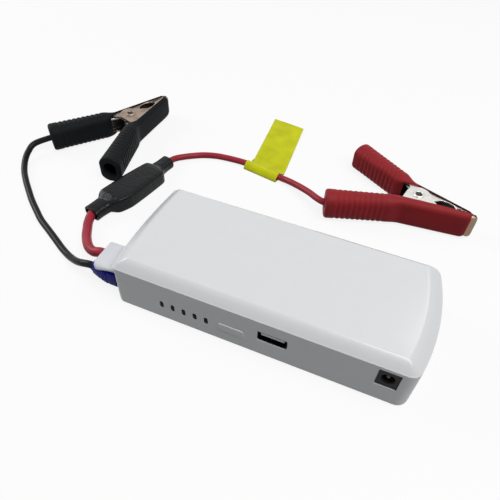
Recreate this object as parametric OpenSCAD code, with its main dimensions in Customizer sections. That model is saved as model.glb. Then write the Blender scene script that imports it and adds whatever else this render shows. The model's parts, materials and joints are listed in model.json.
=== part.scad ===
// Jump starter pack: a battery case with a lead set of two spring clamps.
// Millimetres. Origin at the centre of the case's base, +Z up, ports on the -Y side,
// output socket on the -X end. The leads and clamps lie on the plane z = 0.

/* [Case] */
// Length of the case along X
case_l = 145; // [143:0.5:160]
// Width of the case along Y
case_w = 62.5; // [62:0.5:72]
// Height of the straight side walls
wall_h = 24.5; // [24:0.25:30]
// Rise of the crowned top above the side walls
top_rise = 4.5; // [3.5:0.25:7]
// Wall thickness of both case shells
wall = 2; // [1.6:0.1:2.2]
// How far the curved left end bulges at its middle
left_bulge = 1.8; // [1:0.1:3]
// How far the curved right end bulges at its middle
right_bulge = 4.2; // [2:0.1:5]
// Corner radius of the left end in plan
left_corner = 3.4; // [2:0.1:5]
// Corner radius of the right end in plan
right_corner = 5.5; // [3:0.1:7]
// Width of the sloping band along the front and back of the top
side_band = 5.2; // [3:0.1:8]
// Width of the sloping band along the two ends of the top
end_band = 7; // [4:0.1:10]
// Height of the rounding round the base
base_round = 2.2; // [1:0.1:3]

/* [Front panel] */
// Distance of the first status light from the case's left end
light_in = 26.9; // [25.5:0.1:28]
// Distance between neighbouring status lights
light_pitch = 5.65; // [5:0.05:6]
// Number of status lights
light_count = 5; // [2:1:5]
// Width of each oval light window
light_w = 2; // [1.6:0.1:2.4]
// Height of each oval light window
light_h = 3.7; // [2.8:0.1:4.4]
// Height of the lights and of the power button above the base
light_z = 11; // [10:0.1:12]
// Distance of the power button's centre from the last status light
button_gap = 12.3; // [11:0.1:13]
// Width of the power button
button_w = 12.6; // [10:0.1:14]
// Height of the power button
button_h = 4.8; // [4:0.1:5.6]
// How far the power button stands out of the wall when released
button_proud = 0.8; // [0.7:0.05:1.2]
// Travel of the power button
button_travel = 0.5; // [0.3:0.05:0.6]
// Distance of the USB socket's centre from the power button's centre
usb_gap = 19.3; // [18.7:0.1:20.2]
// Distance of the charging jack's centre from the case's right end
jack_in = 14.5; // [14.1:0.1:15.5]
// Height of the main board's upper face above the base
board_z = 11.8; // [11:0.1:12.2]

/* [Output socket and plug] */
// Distance of the output socket's centre from the case's front face
socket_in = 12; // [11.9:0.1:14]
// Height of the output socket's centre above the base
socket_z = 10; // [9.8:0.1:10.4]
// Width of the plug's body
plug_w = 17.2; // [16:0.1:17.4]
// Height of the plug's body
plug_h = 10.2; // [9.8:0.1:10.6]
// Length of the plug's body outside the case
plug_l = 15; // [13:0.1:18]
// Length of the plug's nose inside the socket
nose_l = 12; // [10:0.1:14]
// Distance between the plug's two contacts
contact_pitch = 9; // [8:0.1:9.2]
// Diameter of the contact pins
contact_d = 4; // [3.5:0.1:4.4]
// Length of the rubber cover beyond its hinge
cover_l = 11.8; // [9:0.1:14]
// Width of the rubber cover
cover_w = 16.4; // [14:0.1:18]
// Thickness of the rubber cover
cover_t = 2; // [1.6:0.1:2.4]

/* [Battery] */
// Room between the case's left end and the battery, for the output socket
battery_left = 28; // [28:0.5:34]
// Room between the battery and the case's right end
battery_right = 25; // [23:0.5:34]
// Thickness of each battery cell
cell_t = 6.4; // [5:0.1:6.6]

/* [Leads] */
// Outer diameter of the short red lead between the plug and the module
short_d = 5.2; // [4.6:0.1:5.4]
// Outer diameter of the long red lead
red_d = 4; // [3.6:0.1:4.4]
// Outer diameter of the black lead
black_d = 3.8; // [3.4:0.1:4.4]
// Width of the lead module's middle
module_w = 18; // [16:0.5:20]
// Height of the lead module's middle
module_h = 10; // [9.5:0.25:11.5]
// Length of the flag label, from the lead to its free edge
flag_l = 60; // [30:1:70]
// Width of the flag label
flag_w = 24; // [15:0.5:26]

/* [Clamps] */
// Distance from the jaws' tips back to the pivot
pivot_back = 34; // [33:0.5:36]
// Distance from the jaws' tips back to the ends of the grips
grip_back = 79.5; // [76:0.5:90]
// Height of the grips above the surface they lie on
grip_h = 17.6; // [17:0.1:19]
// Width across the outer jaw's two cheeks
outer_w = 15; // [14.6:0.1:15.2]
// Thickness of the jaws' sheet metal
sheet = 1.1; // [0.9:0.05:1.3]
// Diameter of the rivet
rivet_d = 4.4; // [4:0.1:5]
// Wire diameter of the clamp's spring
spring_wire = 1.6; // [1.4:0.1:1.8]
// Number of coils of the clamp's spring
spring_turns = 3; // [2:1:3]
// How far the red outer jaw's grip laps over its cheeks
deep_lip = 4.2; // [3:0.1:4.4]
// How far the other grips lap over their cheeks
thin_lip = 1.2; // [0.6:0.1:2]

/* [Hidden] */

$fn = 32;
gap = 0.3;      // between pieces that don't touch
run = 0.06;     // radial clearance of a pin in its hole
touch = 0.02;   // between pieces that seat on each other
eps = 0.01;

case_h = wall_h + top_rise;
front_y = -case_w / 2;
socket_y = front_y + socket_in;
left_x = -case_l / 2;
inner_front = front_y + wall;
floor_z = wall;

// ---------------------------------------------------------------- case outline

// One curved end of the case in plan, from its front corner round to its back corner.
// cx is the half length, side and end are insets of the long sides and of the end.
function end_arc(bulge, corner, side, end) =
    let (r = max(corner - (side + end) / 2, 0.5),
         big = (case_w * case_w / 4 + bulge * bulge) / (2 * bulge),
         mid = case_l / 2 - big,
         arc_r = big - end,
         half = case_w / 2 - side - r,
         a = asin(half / (arc_r - r)),
         cx = mid + (arc_r - r) * cos(a))
    concat(
        [for (i = [0:5]) let (t = -90 + (90 - a) * i / 6) [cx + r * cos(t), -half + r * sin(t)]],
        [for (i = [0:12]) let (t = -a + 2 * a * i / 12) [mid + arc_r * cos(t), arc_r * sin(t)]],
        [for (i = [1:6]) let (t = a + (90 - a) * i / 6) [cx + r * cos(t), half + r * sin(t)]]);

// The case's outline in plan, drawn in by side along the long sides and by end at the ends.
module case_outline(side = 0, end = 0) {
    right = end_arc(right_bulge, right_corner, side, end);
    left = end_arc(left_bulge, left_corner, side, end);
    polygon(concat(right, [for (i = [len(left) - 1:-1:0]) [-left[i][0], left[i][1]]]));
}

module slab(z, side = 0, end = 0) {
    translate([0, 0, z]) linear_extrude(eps) case_outline(side, end);
}

// The solid shape of the lower shell, drawn in by inset.
module tray_solid(inset, top) {
    hull() {
        slab(inset, inset + base_round * 0.6, inset + base_round * 0.6);
        slab(inset + base_round * 0.3, inset + base_round * 0.2, inset + base_round * 0.2);
        translate([0, 0, inset + base_round]) linear_extrude(top - inset - base_round)
            case_outline(inset, inset);
    }
}

// The crowned top, drawn in by inset. Each step is [share of the band, share of the rise].
crown = [[0, 0], [0.32, 0.4], [0.66, 0.76], [0.88, 0.93], [1.12, 1]];
module crown_solid(inset) {
    hull() for (c = crown)
        slab(wall_h + (top_rise - inset) * c[1] - (c[1] == 1 ? eps : 0),
             inset + side_band * c[0], inset + end_band * c[0]);
}

// ---------------------------------------------------------------- case fasteners

boss_d = 6;
screw_d = 2.5;
head_d = 4.6;
head_h = 1.8;
screw_l = 20;
screw_places = [[left_x + 13.5, -3.8], [left_x + 11, case_w / 2 - 8],
                [case_l / 2 - 12, -8.8], [case_l / 2 - 12, case_w / 2 - 8]];
boss_top = 14;      // where the lower shell's bosses meet the cover's
lip_h = 1.4;        // the cover's tongue inside the lower shell

// ---------------------------------------------------------------- front panel

light_x = left_x + light_in;
button_x = light_x + light_pitch * (light_count - 1) + button_gap;
usb_x = button_x + usb_gap;
jack_x = case_l / 2 - jack_in;
usb_w = 13.2;
usb_h = 5.8;
usb_l = 14;
usb_z = board_z + touch + usb_h / 2;
jack_w = 9;
jack_h = 11;
jack_l = 14;
jack_y = front_y + 0.4;
jack_z = board_z + touch + jack_h / 2;
jack_bore = 5.5;
jack_pin_d = 2.1;
jack_pin_l = 9;
indicator_y = inner_front + 3.6;
indicator_t = 1.2;
board_t = 1.6;
board_y0 = inner_front + gap;
board_depth = 16;
board_y1 = board_y0 + board_depth;
board_x0 = usb_x - usb_w / 2 - 1.6;
board_x1 = jack_x + jack_w / 2 + 1;
board_holes = [[usb_x + usb_w / 2 + 3.6, board_y0 + 3.2], [jack_x - jack_w / 2 - 3, board_y0 + 3.2]];
board_rests = [[board_x0 + 3, board_y1 - 3], [board_x1 - 4, board_y1 - 3]];
board_screw_d = 1.6;
board_screw_l = 6;
board_head_d = 3.8;
board_head_h = 1.2;

module along_y(p, d, l, fn = 32) {
    translate(p) rotate([-90, 0, 0]) cylinder(d = d, h = l, $fn = fn);
}

// Upright oval rod along Y, w wide and h high.
module oval_y(p, w, h, l) {
    translate([p[0], p[1] + l, p[2]]) rotate([90, 0, 0]) linear_extrude(l) {
        for (s = [-1, 1]) translate([0, s * (h - w) / 2]) circle(d = w, $fn = 32);
        square([w, h - w], center = true);
    }
}

module along_x(p, d, l, fn = 32) {
    translate(p) rotate([0, 90, 0]) cylinder(d = d, h = l, $fn = fn);
}

module box(low, size) {
    translate(low) cube(size);
}

module top_cover() {
    color("white") union() {
        difference() {
            crown_solid(0);
            difference() {
                crown_solid(wall);
                for (p = screw_places) translate([p[0], p[1], 0]) cylinder(d = boss_d, h = case_h);
            }
        }
        // tongue inside the lower shell's rim
        translate([0, 0, wall_h - lip_h]) linear_extrude(lip_h + wall * 0.4) difference() {
            case_outline(wall + touch, wall + touch);
            case_outline(wall + 1.2, wall + 1.2);
        }
        for (p = screw_places) translate([p[0], p[1], boss_top + gap]) difference() {
            cylinder(d = boss_d, h = wall_h - boss_top);
            translate([0, 0, -eps]) cylinder(d = screw_d, h = screw_l - boss_top + head_h + 2);
        }
    }
}

module bottom_case() {
    color("whitesmoke") difference() {
        union() {
            difference() {
                tray_solid(0, wall_h);
                tray_solid(wall, wall_h + 1);
            }
            for (p = screw_places) translate([p[0], p[1], 1]) cylinder(d = boss_d, h = boss_top - 1);
            // posts under the main board
            for (p = concat(board_holes, board_rests)) translate([p[0], p[1], 1])
                cylinder(d = 5, h = board_z - board_t - touch - 1);
            // channels that hold the indicator board's two ends
            for (x = [indicator_x0 - 1.6, indicator_x1 - 1.2])
                box([x, indicator_y - 1.2, 1], [2.8, indicator_t + 2.4, floor_z + 1.4]);
            // walls round the battery
            for (x = [cell_x0 - 3, cell_x1 + gap]) box([x, cell_y1 - 11, 1], [1.4, 9, 7]);
            // cradle under the output socket
            box([left_x + 4, socket_y - socket_w / 2 + 2, 1],
                [socket_x1 - left_x - 5, socket_w - 4, socket_z - socket_h / 2 - touch - 1]);
        }
        for (p = screw_places) translate([p[0], p[1], -eps]) {
            cylinder(d = screw_d + 2 * run, h = boss_top + 1);
            cylinder(d = head_d + 0.4, h = head_h + 0.6);
        }
        for (p = board_holes) translate([p[0], p[1], floor_z]) cylinder(d = board_screw_d, h = board_z);
        // slot for the indicator board
        box([indicator_x0 - touch, indicator_y - touch, floor_z],
            [indicator_x1 - indicator_x0 + 2 * touch, indicator_t + 2 * touch, 12]);
        // light windows
        for (i = [0:light_count - 1]) oval_y([light_x + i * light_pitch, front_y - 1, light_z],
            light_w + 2 * touch, light_h + 2 * touch, wall + 2);
        // power button
        box([button_x - button_w / 2 - 0.15, front_y - 1, light_z - button_h / 2 - 0.15],
            [button_w + 0.3, wall + 2, button_h + 0.3]);
        // USB socket and charging jack
        box([usb_x - usb_w / 2 - 0.25, front_y - 1, usb_z - usb_h / 2 - 0.25],
            [usb_w + 0.5, wall + 2, usb_h + 0.5]);
        box([jack_x - jack_w / 2 - 0.25, front_y - 1, jack_z - jack_h / 2 - 0.25],
            [jack_w + 0.5, wall + 2, jack_h + 0.5]);
        // output socket
        box([left_x - 1, socket_y - nose_w / 2 - 1.2, socket_z - nose_h / 2 - 1.2],
            [wall + left_bulge + 1.5, nose_w + 2.4, nose_h + 2.4]);
        // slot for the rubber cover's anchor
        box([left_x - 1, socket_y - anchor_w / 2 - touch, cover_z - anchor_t / 2 - touch],
            [wall + left_bulge + 1.5, anchor_w + 2 * touch, anchor_t + 2 * touch]);
    }
}

module case_screws() {
    color("darkgray") for (p = screw_places) translate([p[0], p[1], 0.4]) difference() {
        union() {
            cylinder(d = head_d, h = head_h);
            cylinder(d = screw_d - 2 * touch, h = screw_l);
        }
        // cross recess
        for (a = [0, 90]) rotate([0, 0, a]) box([-1.4, -0.3, -eps], [2.8, 0.6, 1]);
    }
}

// ---------------------------------------------------------------- button and lights

indicator_x0 = light_x - 4;
indicator_x1 = button_x + 6;
indicator_h = 13.5;
switch_w = 6;
switch_t = 1.6;
plunger_d = 2.6;
button_flange = 1;
button_back = inner_front + button_flange + 0.1;
plunger_tip = indicator_y - switch_t - 0.6;

module power_button() {
    color("whitesmoke") {
        y = front_y - button_proud;
        box([button_x - button_w / 2, y, light_z - button_h / 2],
            [button_w, inner_front + 0.1 - y + eps, button_h]);
        box([button_x - button_w / 2 - 1, inner_front + 0.1, light_z - button_h / 2 - 1],
            [button_w + 2, button_flange, button_h + 2]);
    }
}

module switch_plunger() {
    color("dimgray") along_y([button_x, button_back + touch, light_z], plunger_d,
        indicator_y - touch - button_travel - 0.2 - button_back - touch);
}

module switch_body() {
    y = indicator_y - touch - switch_t;
    color("black") difference() {
        box([button_x - switch_w / 2, y, light_z - switch_w / 2], [switch_w, switch_t, switch_w]);
        along_y([button_x, y - 1, light_z], plunger_d + 2 * run, switch_t + 2);
    }
}

module light_windows() {
    color("dimgray") for (i = [0:light_count - 1])
        oval_y([light_x + i * light_pitch, front_y + 0.5, light_z], light_w, light_h, wall + 1);
}

module status_leds() {
    color("palegreen") for (i = [0:light_count - 1])
        box([light_x + i * light_pitch - 1, indicator_y - touch - 0.9, light_z - 0.65],
            [2, 0.9, 1.3]);
}

module indicator_board() {
    color("green") box([indicator_x0, indicator_y, floor_z + touch],
        [indicator_x1 - indicator_x0, indicator_t, indicator_h]);
}

module link_pins() {
    pin = 0.6;
    y = indicator_y + indicator_t + touch;
    top = board_z - board_t - touch;
    color("gold") for (i = [0:3]) {
        x = board_x0 + 2 * pin + i * 1.4;
        z = top - 2 - i * 2 * pin;
        box([indicator_x1 - 6 * pin, y, z], [x + 7 * pin - indicator_x1, pin, pin]);
        box([x, y, z], [pin, pin, top - z]);
    }
}

// ---------------------------------------------------------------- main board

module main_board() {
    color("green") difference() {
        box([board_x0, board_y0, board_z - board_t],
            [board_x1 - board_x0, board_y1 - board_y0, board_t]);
        for (p = board_holes) translate([p[0], p[1], 0])
            cylinder(d = board_screw_d + 0.6, h = board_z + 1);
    }
}

module board_screws() {
    color("silver") for (p = board_holes) translate([p[0], p[1], board_z + touch]) {
        cylinder(d = board_head_d, h = board_head_h);
        translate([0, 0, -board_screw_l]) cylinder(d = board_screw_d - 2 * touch, h = board_screw_l + 0.5);
    }
}

module usb_shell() {
    y = front_y + 0.3;
    color("silver") difference() {
        box([usb_x - usb_w / 2, y, usb_z - usb_h / 2], [usb_w, usb_l, usb_h]);
        box([usb_x - usb_w / 2 + 0.35, y - 1, usb_z - usb_h / 2 + 0.35],
            [usb_w - 0.7, usb_l + 0.5, usb_h - 0.7]);
    }
}

module usb_tongue() {
    y = front_y + 1.2;
    back = front_y + 0.3 + usb_l - 0.5 - touch;
    color("white") {
        box([usb_x - 5.5, y, usb_z + 0.1], [11, back - y, 1.9]);
        box([usb_x - usb_w / 2 + 0.35 + touch, back - 3, usb_z - usb_h / 2 + 0.35 + touch],
            [usb_w - 0.7 - 2 * touch, 3, usb_h - 0.7 - 2 * touch]);
    }
}

module charge_jack() {
    color([0.13, 0.13, 0.14]) difference() {
        box([jack_x - jack_w / 2, jack_y, jack_z - jack_h / 2], [jack_w, jack_l, jack_h]);
        along_y([jack_x, jack_y - 1, jack_z], jack_bore, jack_pin_l + 2);
        along_y([jack_x, jack_y, jack_z], jack_pin_d - 0.4, jack_pin_l + 3);
    }
}

module jack_pin() {
    color("silver") union() {
        along_y([jack_x, jack_y + 1, jack_z], jack_pin_d, jack_pin_l - touch);
        along_y([jack_x, jack_y + 1, jack_z], jack_pin_d - 0.4 - 2 * touch, jack_pin_l + 1.8);
    }
}

parts_x = (board_holes[0][0] + board_holes[1][0]) / 2;
parts_y = (board_y0 + board_y1) / 2;
// share of the room between the board's screws, so that the parts follow the board's length
board_step = (board_holes[1][0] - board_holes[0][0]) / 32;
inductor_w = 10.6 * board_step;
inductor_h = 5.5;

module power_inductor() {
    color("dimgray") translate([parts_x + 7.5 * board_step, parts_y, board_z + touch]) intersection() {
        translate([-inductor_w / 2, -inductor_w / 2, 0]) cube([inductor_w, inductor_w, inductor_h]);
        cylinder(d = 1.3 * inductor_w, h = inductor_h);
    }
}

module power_transistors() {
    color("black") for (i = [0, 1])
        box([parts_x + (i * 7 - 15.5) * board_step, parts_y - 1, board_z + touch],
            [5 * board_step, 6, 2.3]);
}

module capacitors() {
    color("steelblue") for (i = [0, 1])
        translate([parts_x + (i * 6.5 - 7.5) * board_step, parts_y - 5, board_z + touch])
            cylinder(d = 5 * board_step, h = 8);
}

module controller_chip() {
    chip_h = 1.2;
    color("black") box([parts_x - 13 * board_step, parts_y - 3, board_z - board_t - touch - chip_h],
        [9 * board_step, 6, chip_h]);
}

// ---------------------------------------------------------------- battery

cell_x0 = left_x + battery_left;
cell_x1 = case_l / 2 - battery_right;
cell_y0 = board_y1 + 1.4;
cell_y1 = case_w / 2 - wall - 0.6 * base_round - 0.1;
cell_l = cell_x1 - cell_x0;
cell_w = cell_y1 - cell_y0;
cell_step = cell_t + touch;
tab_w = 8;
tab_l = 2.2;
tab_t = 0.4;
link_t = 0.5;
pad_in = 5.5;
tab_y = [cell_y0 + 5, cell_y0 + cell_w * 0.45];

module battery_cell(i) {
    color("silver") translate([cell_x0, cell_y0, floor_z + touch + i * cell_step]) {
        cube([cell_l, cell_w, cell_t]);
        // the folded seal along the terminal end
        translate([-1.2, 1, cell_t / 2 - 0.4]) cube([1.3, cell_w - 2, 0.8]);
    }
}

module battery_pad() {
    z = floor_z + 3 * cell_step + touch;
    color("dimgray") box([cell_x0 + pad_in, cell_y0 + pad_in, z],
        [cell_l - 2 * pad_in, cell_w - 2 * pad_in, case_h - wall - touch - z]);
}

// Terminal tabs, and the straps that join neighbouring cells in series.
module cell_links() {
    x = cell_x0 - 1.2 - touch;
    function tab_z(i) = floor_z + touch + i * cell_step + cell_t / 2;
    color("goldenrod") {
        for (i = [0, 1]) {
            for (k = [i, i + 1])
                box([x - tab_l, tab_y[1 - i], tab_z(k) - tab_t / 2], [tab_l, tab_w, tab_t]);
            box([x - tab_l, tab_y[1 - i], tab_z(i) - tab_t / 2], [link_t, tab_w, cell_step + tab_t]);
        }
        for (e = [[0, 0], [2, 1]])
            box([x - tab_l, tab_y[e[1]], tab_z(e[0]) - tab_t / 2], [tab_l, tab_w, tab_t]);
    }
}

// ---------------------------------------------------------------- cord helpers

function unit(v) = v / norm(v);
function heading(p, i) =
    unit(p[min(i + 1, len(p) - 1)] - p[max(i - 1, 0)]);
function side_of(t) = unit(cross([0, 0, 1], t));

// A tube of the given radius swept along the points of a route.
module sweep(route, r, sides = 8) {
    n = len(route);
    rings = [for (i = [0:n - 1])
        let (t = heading(route, i), a = side_of(t), b = cross(t, a))
        for (k = [0:sides - 1]) route[i] + r * (cos(360 * k / sides) * a + sin(360 * k / sides) * b)];
    walls = [for (i = [0:n - 2], k = [0:sides - 1])
        let (k2 = (k + 1) % sides, p = i * sides, q = p + sides)
        for (f = [[p + k, p + k2, q + k2], [p + k, q + k2, q + k]]) f];
    caps = [for (k = [1:sides - 2]) for (f = [[0, k + 1, k],
        [(n - 1) * sides, (n - 1) * sides + k, (n - 1) * sides + k + 1]]) f];
    polyhedron([for (v = rings) v], [for (f = concat(walls, caps)) [f[0], f[2], f[1]]], convexity = 6);
}

module positive_wire() {
    y = socket_y + contact_pitch / 2;
    x = cell_x0 - 1.2 - tab_l - 2 * touch;
    z = floor_z + 2.5 * cell_step;
    bow = 3.4;
    climb = 6;
    run_in = 5;
    color("red") sweep([[socket_x1 + touch, y, socket_z], [socket_x1 + 2.5, y, socket_z],
        [socket_x1 + bow, y + 1.4, socket_z + 1], [socket_x1 + bow - 0.2, y + climb, z - 1.2],
        [x - run_in, tab_y[1] + 0.5, z + 0.3], [x - run_in / 2, tab_y[1] + 4, z],
        [x, tab_y[1] + 4, z]], 1.5);
}

module negative_wire() {
    y = socket_y - contact_pitch / 2;
    x = cell_x0 - 1.2 - tab_l - 2 * touch;
    z = floor_z + 0.5 * cell_step;
    color("black") sweep([[socket_x1 + touch, y, socket_z], [socket_x1 + 2.2, y, socket_z],
        [socket_x1 + 3.6, y + 0.4, socket_z - 1.6], [socket_x1 + 4, y + 4, z + 1.4],
        [x - 4.6, tab_y[0] - 3, z + 0.2], [x - 2, tab_y[0] + 2, z], [x, tab_y[0] + 2, z]], 1.5);
}

// ---------------------------------------------------------------- output socket and plug

nose_w = plug_w - 1.6;
nose_h = plug_h - 1.6;
socket_wall = 1.6;
socket_w = nose_w + 2 * socket_wall + 0.2;
socket_h = nose_h + 2 * socket_wall + 0.2;
socket_x0 = left_x + left_bulge + wall + 1.5;
socket_x1 = left_x + left_bulge + nose_l + 3;
plug_x1 = left_x - 0.4;
plug_x0 = plug_x1 - plug_l;

module output_socket() {
    color("blue") difference() {
        box([socket_x0, socket_y - socket_w / 2, socket_z - socket_h / 2],
            [socket_x1 - socket_x0, socket_w, socket_h]);
        box([socket_x0 - 1, socket_y - nose_w / 2 - 0.1, socket_z - nose_h / 2 - 0.1],
            [left_x + left_bulge + nose_l + 0.4 - socket_x0 + 1, nose_w + 0.2, nose_h + 0.2]);
        for (s = [-1, 1]) along_x([socket_x1 - 4, socket_y + s * contact_pitch / 2, socket_z],
            contact_d - 0.6, 5);
    }
}

module output_pins() {
    x = left_x + left_bulge + 2;
    back = left_x + left_bulge + nose_l + 0.4 - touch;
    color("gold") for (s = [-1, 1]) {
        along_x([x, socket_y + s * contact_pitch / 2, socket_z], contact_d, back - x);
        along_x([x, socket_y + s * contact_pitch / 2, socket_z], contact_d - 0.6 - 2 * touch,
            socket_x1 - x);
    }
}

contact_len = nose_l + 6;
contact_x0 = left_x + left_bulge + nose_l - contact_len;
sleeve_d = contact_d + 2 * run + 1;

module plug_body() {
    color("blue") difference() {
        union() {
            // body outside the case, drawn in towards the leads
            hull() {
                for (s = [-1, 1], t = [-1, 1]) {
                    translate([plug_x1 - 1, socket_y + s * (plug_w / 2 - 1.5),
                        socket_z + t * (plug_h / 2 - 1.5)]) rotate([0, 90, 0])
                        cylinder(r = 1.5, h = 1, $fn = 24);
                    translate([plug_x1 - plug_l * 0.45, socket_y + s * (plug_w / 2 - 1.5),
                        socket_z + t * (plug_h / 2 - 1.5)]) rotate([0, 90, 0])
                        cylinder(r = 1.5, h = 1, $fn = 24);
                    translate([plug_x0, socket_y + s * (plug_w / 2 - 3.6),
                        socket_z + t * (plug_h / 2 - 2.8)]) rotate([0, 90, 0])
                        cylinder(r = 2, h = 0.4, $fn = 24);
                }
            }
            // nose inside the socket
            box([plug_x1 - 1, socket_y - nose_w / 2, socket_z - nose_h / 2],
                [left_x + left_bulge + nose_l - plug_x1 + 1, nose_w, nose_h]);
        }
        for (s = [-1, 1]) {
            along_x([contact_x0, socket_y + s * contact_pitch / 2, socket_z],
                sleeve_d + 2 * touch, contact_len + 1);
        }
    }
}

module plug_contacts() {
    color("gold") for (s = [-1, 1]) difference() {
        along_x([contact_x0 + touch, socket_y + s * contact_pitch / 2, socket_z], sleeve_d,
            contact_len - touch);
        along_x([contact_x0 + 4, socket_y + s * contact_pitch / 2, socket_z],
            contact_d + 2 * run, contact_len);
    }
}

// ---------------------------------------------------------------- rubber cover

hinge_r = cover_t / 2;
hinge_x = left_x - hinge_r - 0.5;
cover_z = socket_z + plug_h / 2 + gap + cover_t / 2;
anchor_w = 9;
anchor_t = 1.6;

module cover_anchor() {
    inside = left_x + left_bulge + wall;
    color("whitesmoke") {
        box([left_x - 0.2, socket_y - anchor_w / 2, cover_z - anchor_t / 2],
            [inside - left_x + 0.8, anchor_w, anchor_t]);
        box([inside + 0.1, socket_y - anchor_w / 2 - 1.5, cover_z - anchor_t / 2 - 0.4],
            [1.2, anchor_w + 3, anchor_t + 0.8]);
    }
}

module socket_cover() {
    r = 3;
    color("whitesmoke") {
        along_y([hinge_x, socket_y - cover_w / 2 + 1, cover_z], 2 * hinge_r, cover_w - 2, 24);
        translate([0, 0, cover_z - cover_t / 2]) linear_extrude(cover_t) union() {
            translate([hinge_x - cover_l + r, socket_y - cover_w / 2]) square([cover_l - r, cover_w]);
            translate([hinge_x - cover_l, socket_y - cover_w / 2 + r]) square([cover_l, cover_w - 2 * r]);
            for (s = [-1, 1]) translate([hinge_x - cover_l + r, socket_y + s * (cover_w / 2 - r)])
                circle(r = r);
        }
    }
}

// ---------------------------------------------------------------- lead module

module_a = [-117.4, 12.6, 0];
module_angle = 76.6;
module_l = 64;
module_neck = 7.4;
module_mid = 2.6;
module_shell = 1;
module_lift = 3.6;

function module_point(s, t, z) =
    module_a + [s * cos(module_angle) + t * sin(module_angle),
                s * sin(module_angle) - t * cos(module_angle), z];
module_entry_a = [module_point(1, 0, module_lift), module_point(9, 0, module_lift + 0.6)];
module_entry_b = [module_point(module_l - 9, 0, module_lift + 0.6),
    module_point(module_l, 0, module_lift)];

// One cross-section of the module: s along it, half width w, height h, centred at height z.
module module_section(s, t, w, h, z, corner) {
    translate(module_point(s, t, z)) rotate([0, 0, module_angle - 90]) rotate([90, 0, 0])
        linear_extrude(eps) polygon([for (c = [[1, 1], [-1, 1], [-1, -1], [1, -1]])
            for (i = [0:3]) let (a = 30 * i + (c[1] > 0 ? (c[0] > 0 ? 0 : 90) : (c[0] < 0 ? 180 : 270)))
            [c[0] * (w - corner) + corner * cos(a), c[1] * (h / 2 - corner) + corner * sin(a)]]);
}

// The heat-shrink skin's outer shape, drawn in by inset.
module module_skin(inset) {
    low = module_neck - 2 * inset;
    mid = module_h - 2 * inset;
    wide = module_w / 2 - inset;
    hull() {
        module_section(-eps, 0, 5.4 - inset, low, module_neck / 2, 2.2);
        module_section(9, 0.2, 5.7 - inset, low + 0.4, module_neck / 2 + 0.2, 2.2);
    }
    hull() {
        module_section(8.9, 0.2, 5.7 - inset, low + 0.4, module_neck / 2 + 0.2, 2.2);
        module_section(14, 1.6, wide - 0.8, mid - 0.8, module_h / 2 - 0.4, 2.8);
        module_section(22, module_mid, wide, mid, module_h / 2, 2.8);
        module_section(48, module_mid, wide - 1.2, mid - 0.6, module_h / 2 - 0.3, 2.8);
        module_section(54.5, 0.8, 4.8 - inset, low + 0.2, module_neck / 2 + 0.1, 2.2);
    }
    hull() {
        module_section(54.4, 0.8, 4.8 - inset, low + 0.2, module_neck / 2 + 0.1, 2.2);
        module_section(module_l, 0, 4.2 - inset, low, module_neck / 2, 1.6);
    }
}

module lead_module() {
    color([0.1, 0.1, 0.11]) difference() {
        module_skin(0);
        module_skin(module_shell);
        // mouths round the leads
        sweep(red_short_route, short_d / 2 + touch);
        sweep(red_long_route, red_d / 2 + touch);
    }
}

board_half = 5.8;

module module_board() {
    color("green") translate(module_point(14, module_mid, 2.4)) rotate([0, 0, module_angle])
        translate([0, -board_half, 0]) cube([32, 2 * board_half, 1.2]);
}

module module_diodes() {
    color("black") translate(module_point(14, module_mid, 2.4 + 1.2 + touch))
        rotate([0, 0, module_angle]) for (x = [2, 12, 22])
            translate([x, -4.5, 0]) cube([8, 9, 2.6]);
}

// ---------------------------------------------------------------- flag label

flag_t = 0.4;
flag_at = [-42.4, 93.4, 0];
flag_angle = -10.8;
flag_skew = 16;
flag_z = 0.1 + flag_t / 2;

// A film that wraps the long red lead and closes on itself as a slightly skewed flag.
module flag_label() {
    r = red_d / 2 + 0.05;
    low = flag_z - flag_t / 2;
    top = flag_z + flag_t / 2;
    side = -flag_l * tan(flag_skew);
    color("yellow") translate(flag_at) rotate([0, 0, flag_angle]) difference() {
        union() {
            translate([-flag_w / 2, 0, floor_flag]) rotate([0, 90, 0])
                cylinder(r = r + flag_t, h = flag_w);
            translate([0, 0, low]) linear_extrude(flag_t) polygon([[-flag_w / 2, -0.5],
                [flag_w / 2, -0.5], [flag_w / 2 + side, flag_l], [-flag_w / 2 + side, flag_l]]);
            translate([-flag_w / 2, 0, 0]) rotate([90, 0, 90]) linear_extrude(flag_w)
                polygon([[0, low + 0.05], [0, floor_flag], [r, floor_flag], [r + 1, floor_flag - 0.7],
                    [r + 2, top + 0.3], [r + 3, top - 0.05], [r + 3, low + 0.05]]);
        }
        translate([-flag_w / 2 - 1, 0, floor_flag]) rotate([0, 90, 0])
            cylinder(r = r, h = flag_w + 2);
    }
}

// ---------------------------------------------------------------- clamp geometry
// A clamp lies flat. Its own axis u runs to the tip at u = 0, v is sideways, z up.
// Each arm is drawn on the +v side, and the outer arm is the mirrored one.

red_clamp = [[84.9, 88.9], -8];
black_clamp = [[-134.8, 129.6], 76.3];
red_cover_front = 3;
black_cover_front = 0.8;
mid_z = grip_h / 2;
inner_w = outer_w - 2 * sheet - 0.5;
pivot = [-pivot_back, 0];
bend_u = -pivot_back - 9;
tip_back = 2.4;
bend_back = 12.1;
grip_slope = 26.2;
grip_rear_mid = 28.1;
grip_rear_w = 13.6;
grip_front_w = 10;
grip_wall = 1.7;
ear_r = 7;
spring_r = 4.3;

// Centre line of an arm's handle, d back from the bend.
bend_mid = grip_rear_mid - (grip_back + bend_u) * tan(grip_slope);
handle_l = (grip_back + bend_u) / cos(grip_slope);
function handle_point(d, v) =
    [bend_u - d * cos(grip_slope) + v * sin(grip_slope),
     bend_mid + d * sin(grip_slope) + v * cos(grip_slope)];
function handle_half(d) = (grip_front_w + (grip_rear_w - grip_front_w) * d / handle_l) / 2;

module place_clamp(c) {
    translate([c[0][0], c[0][1], 0]) rotate([0, 0, c[1]]) children();
}

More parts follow.
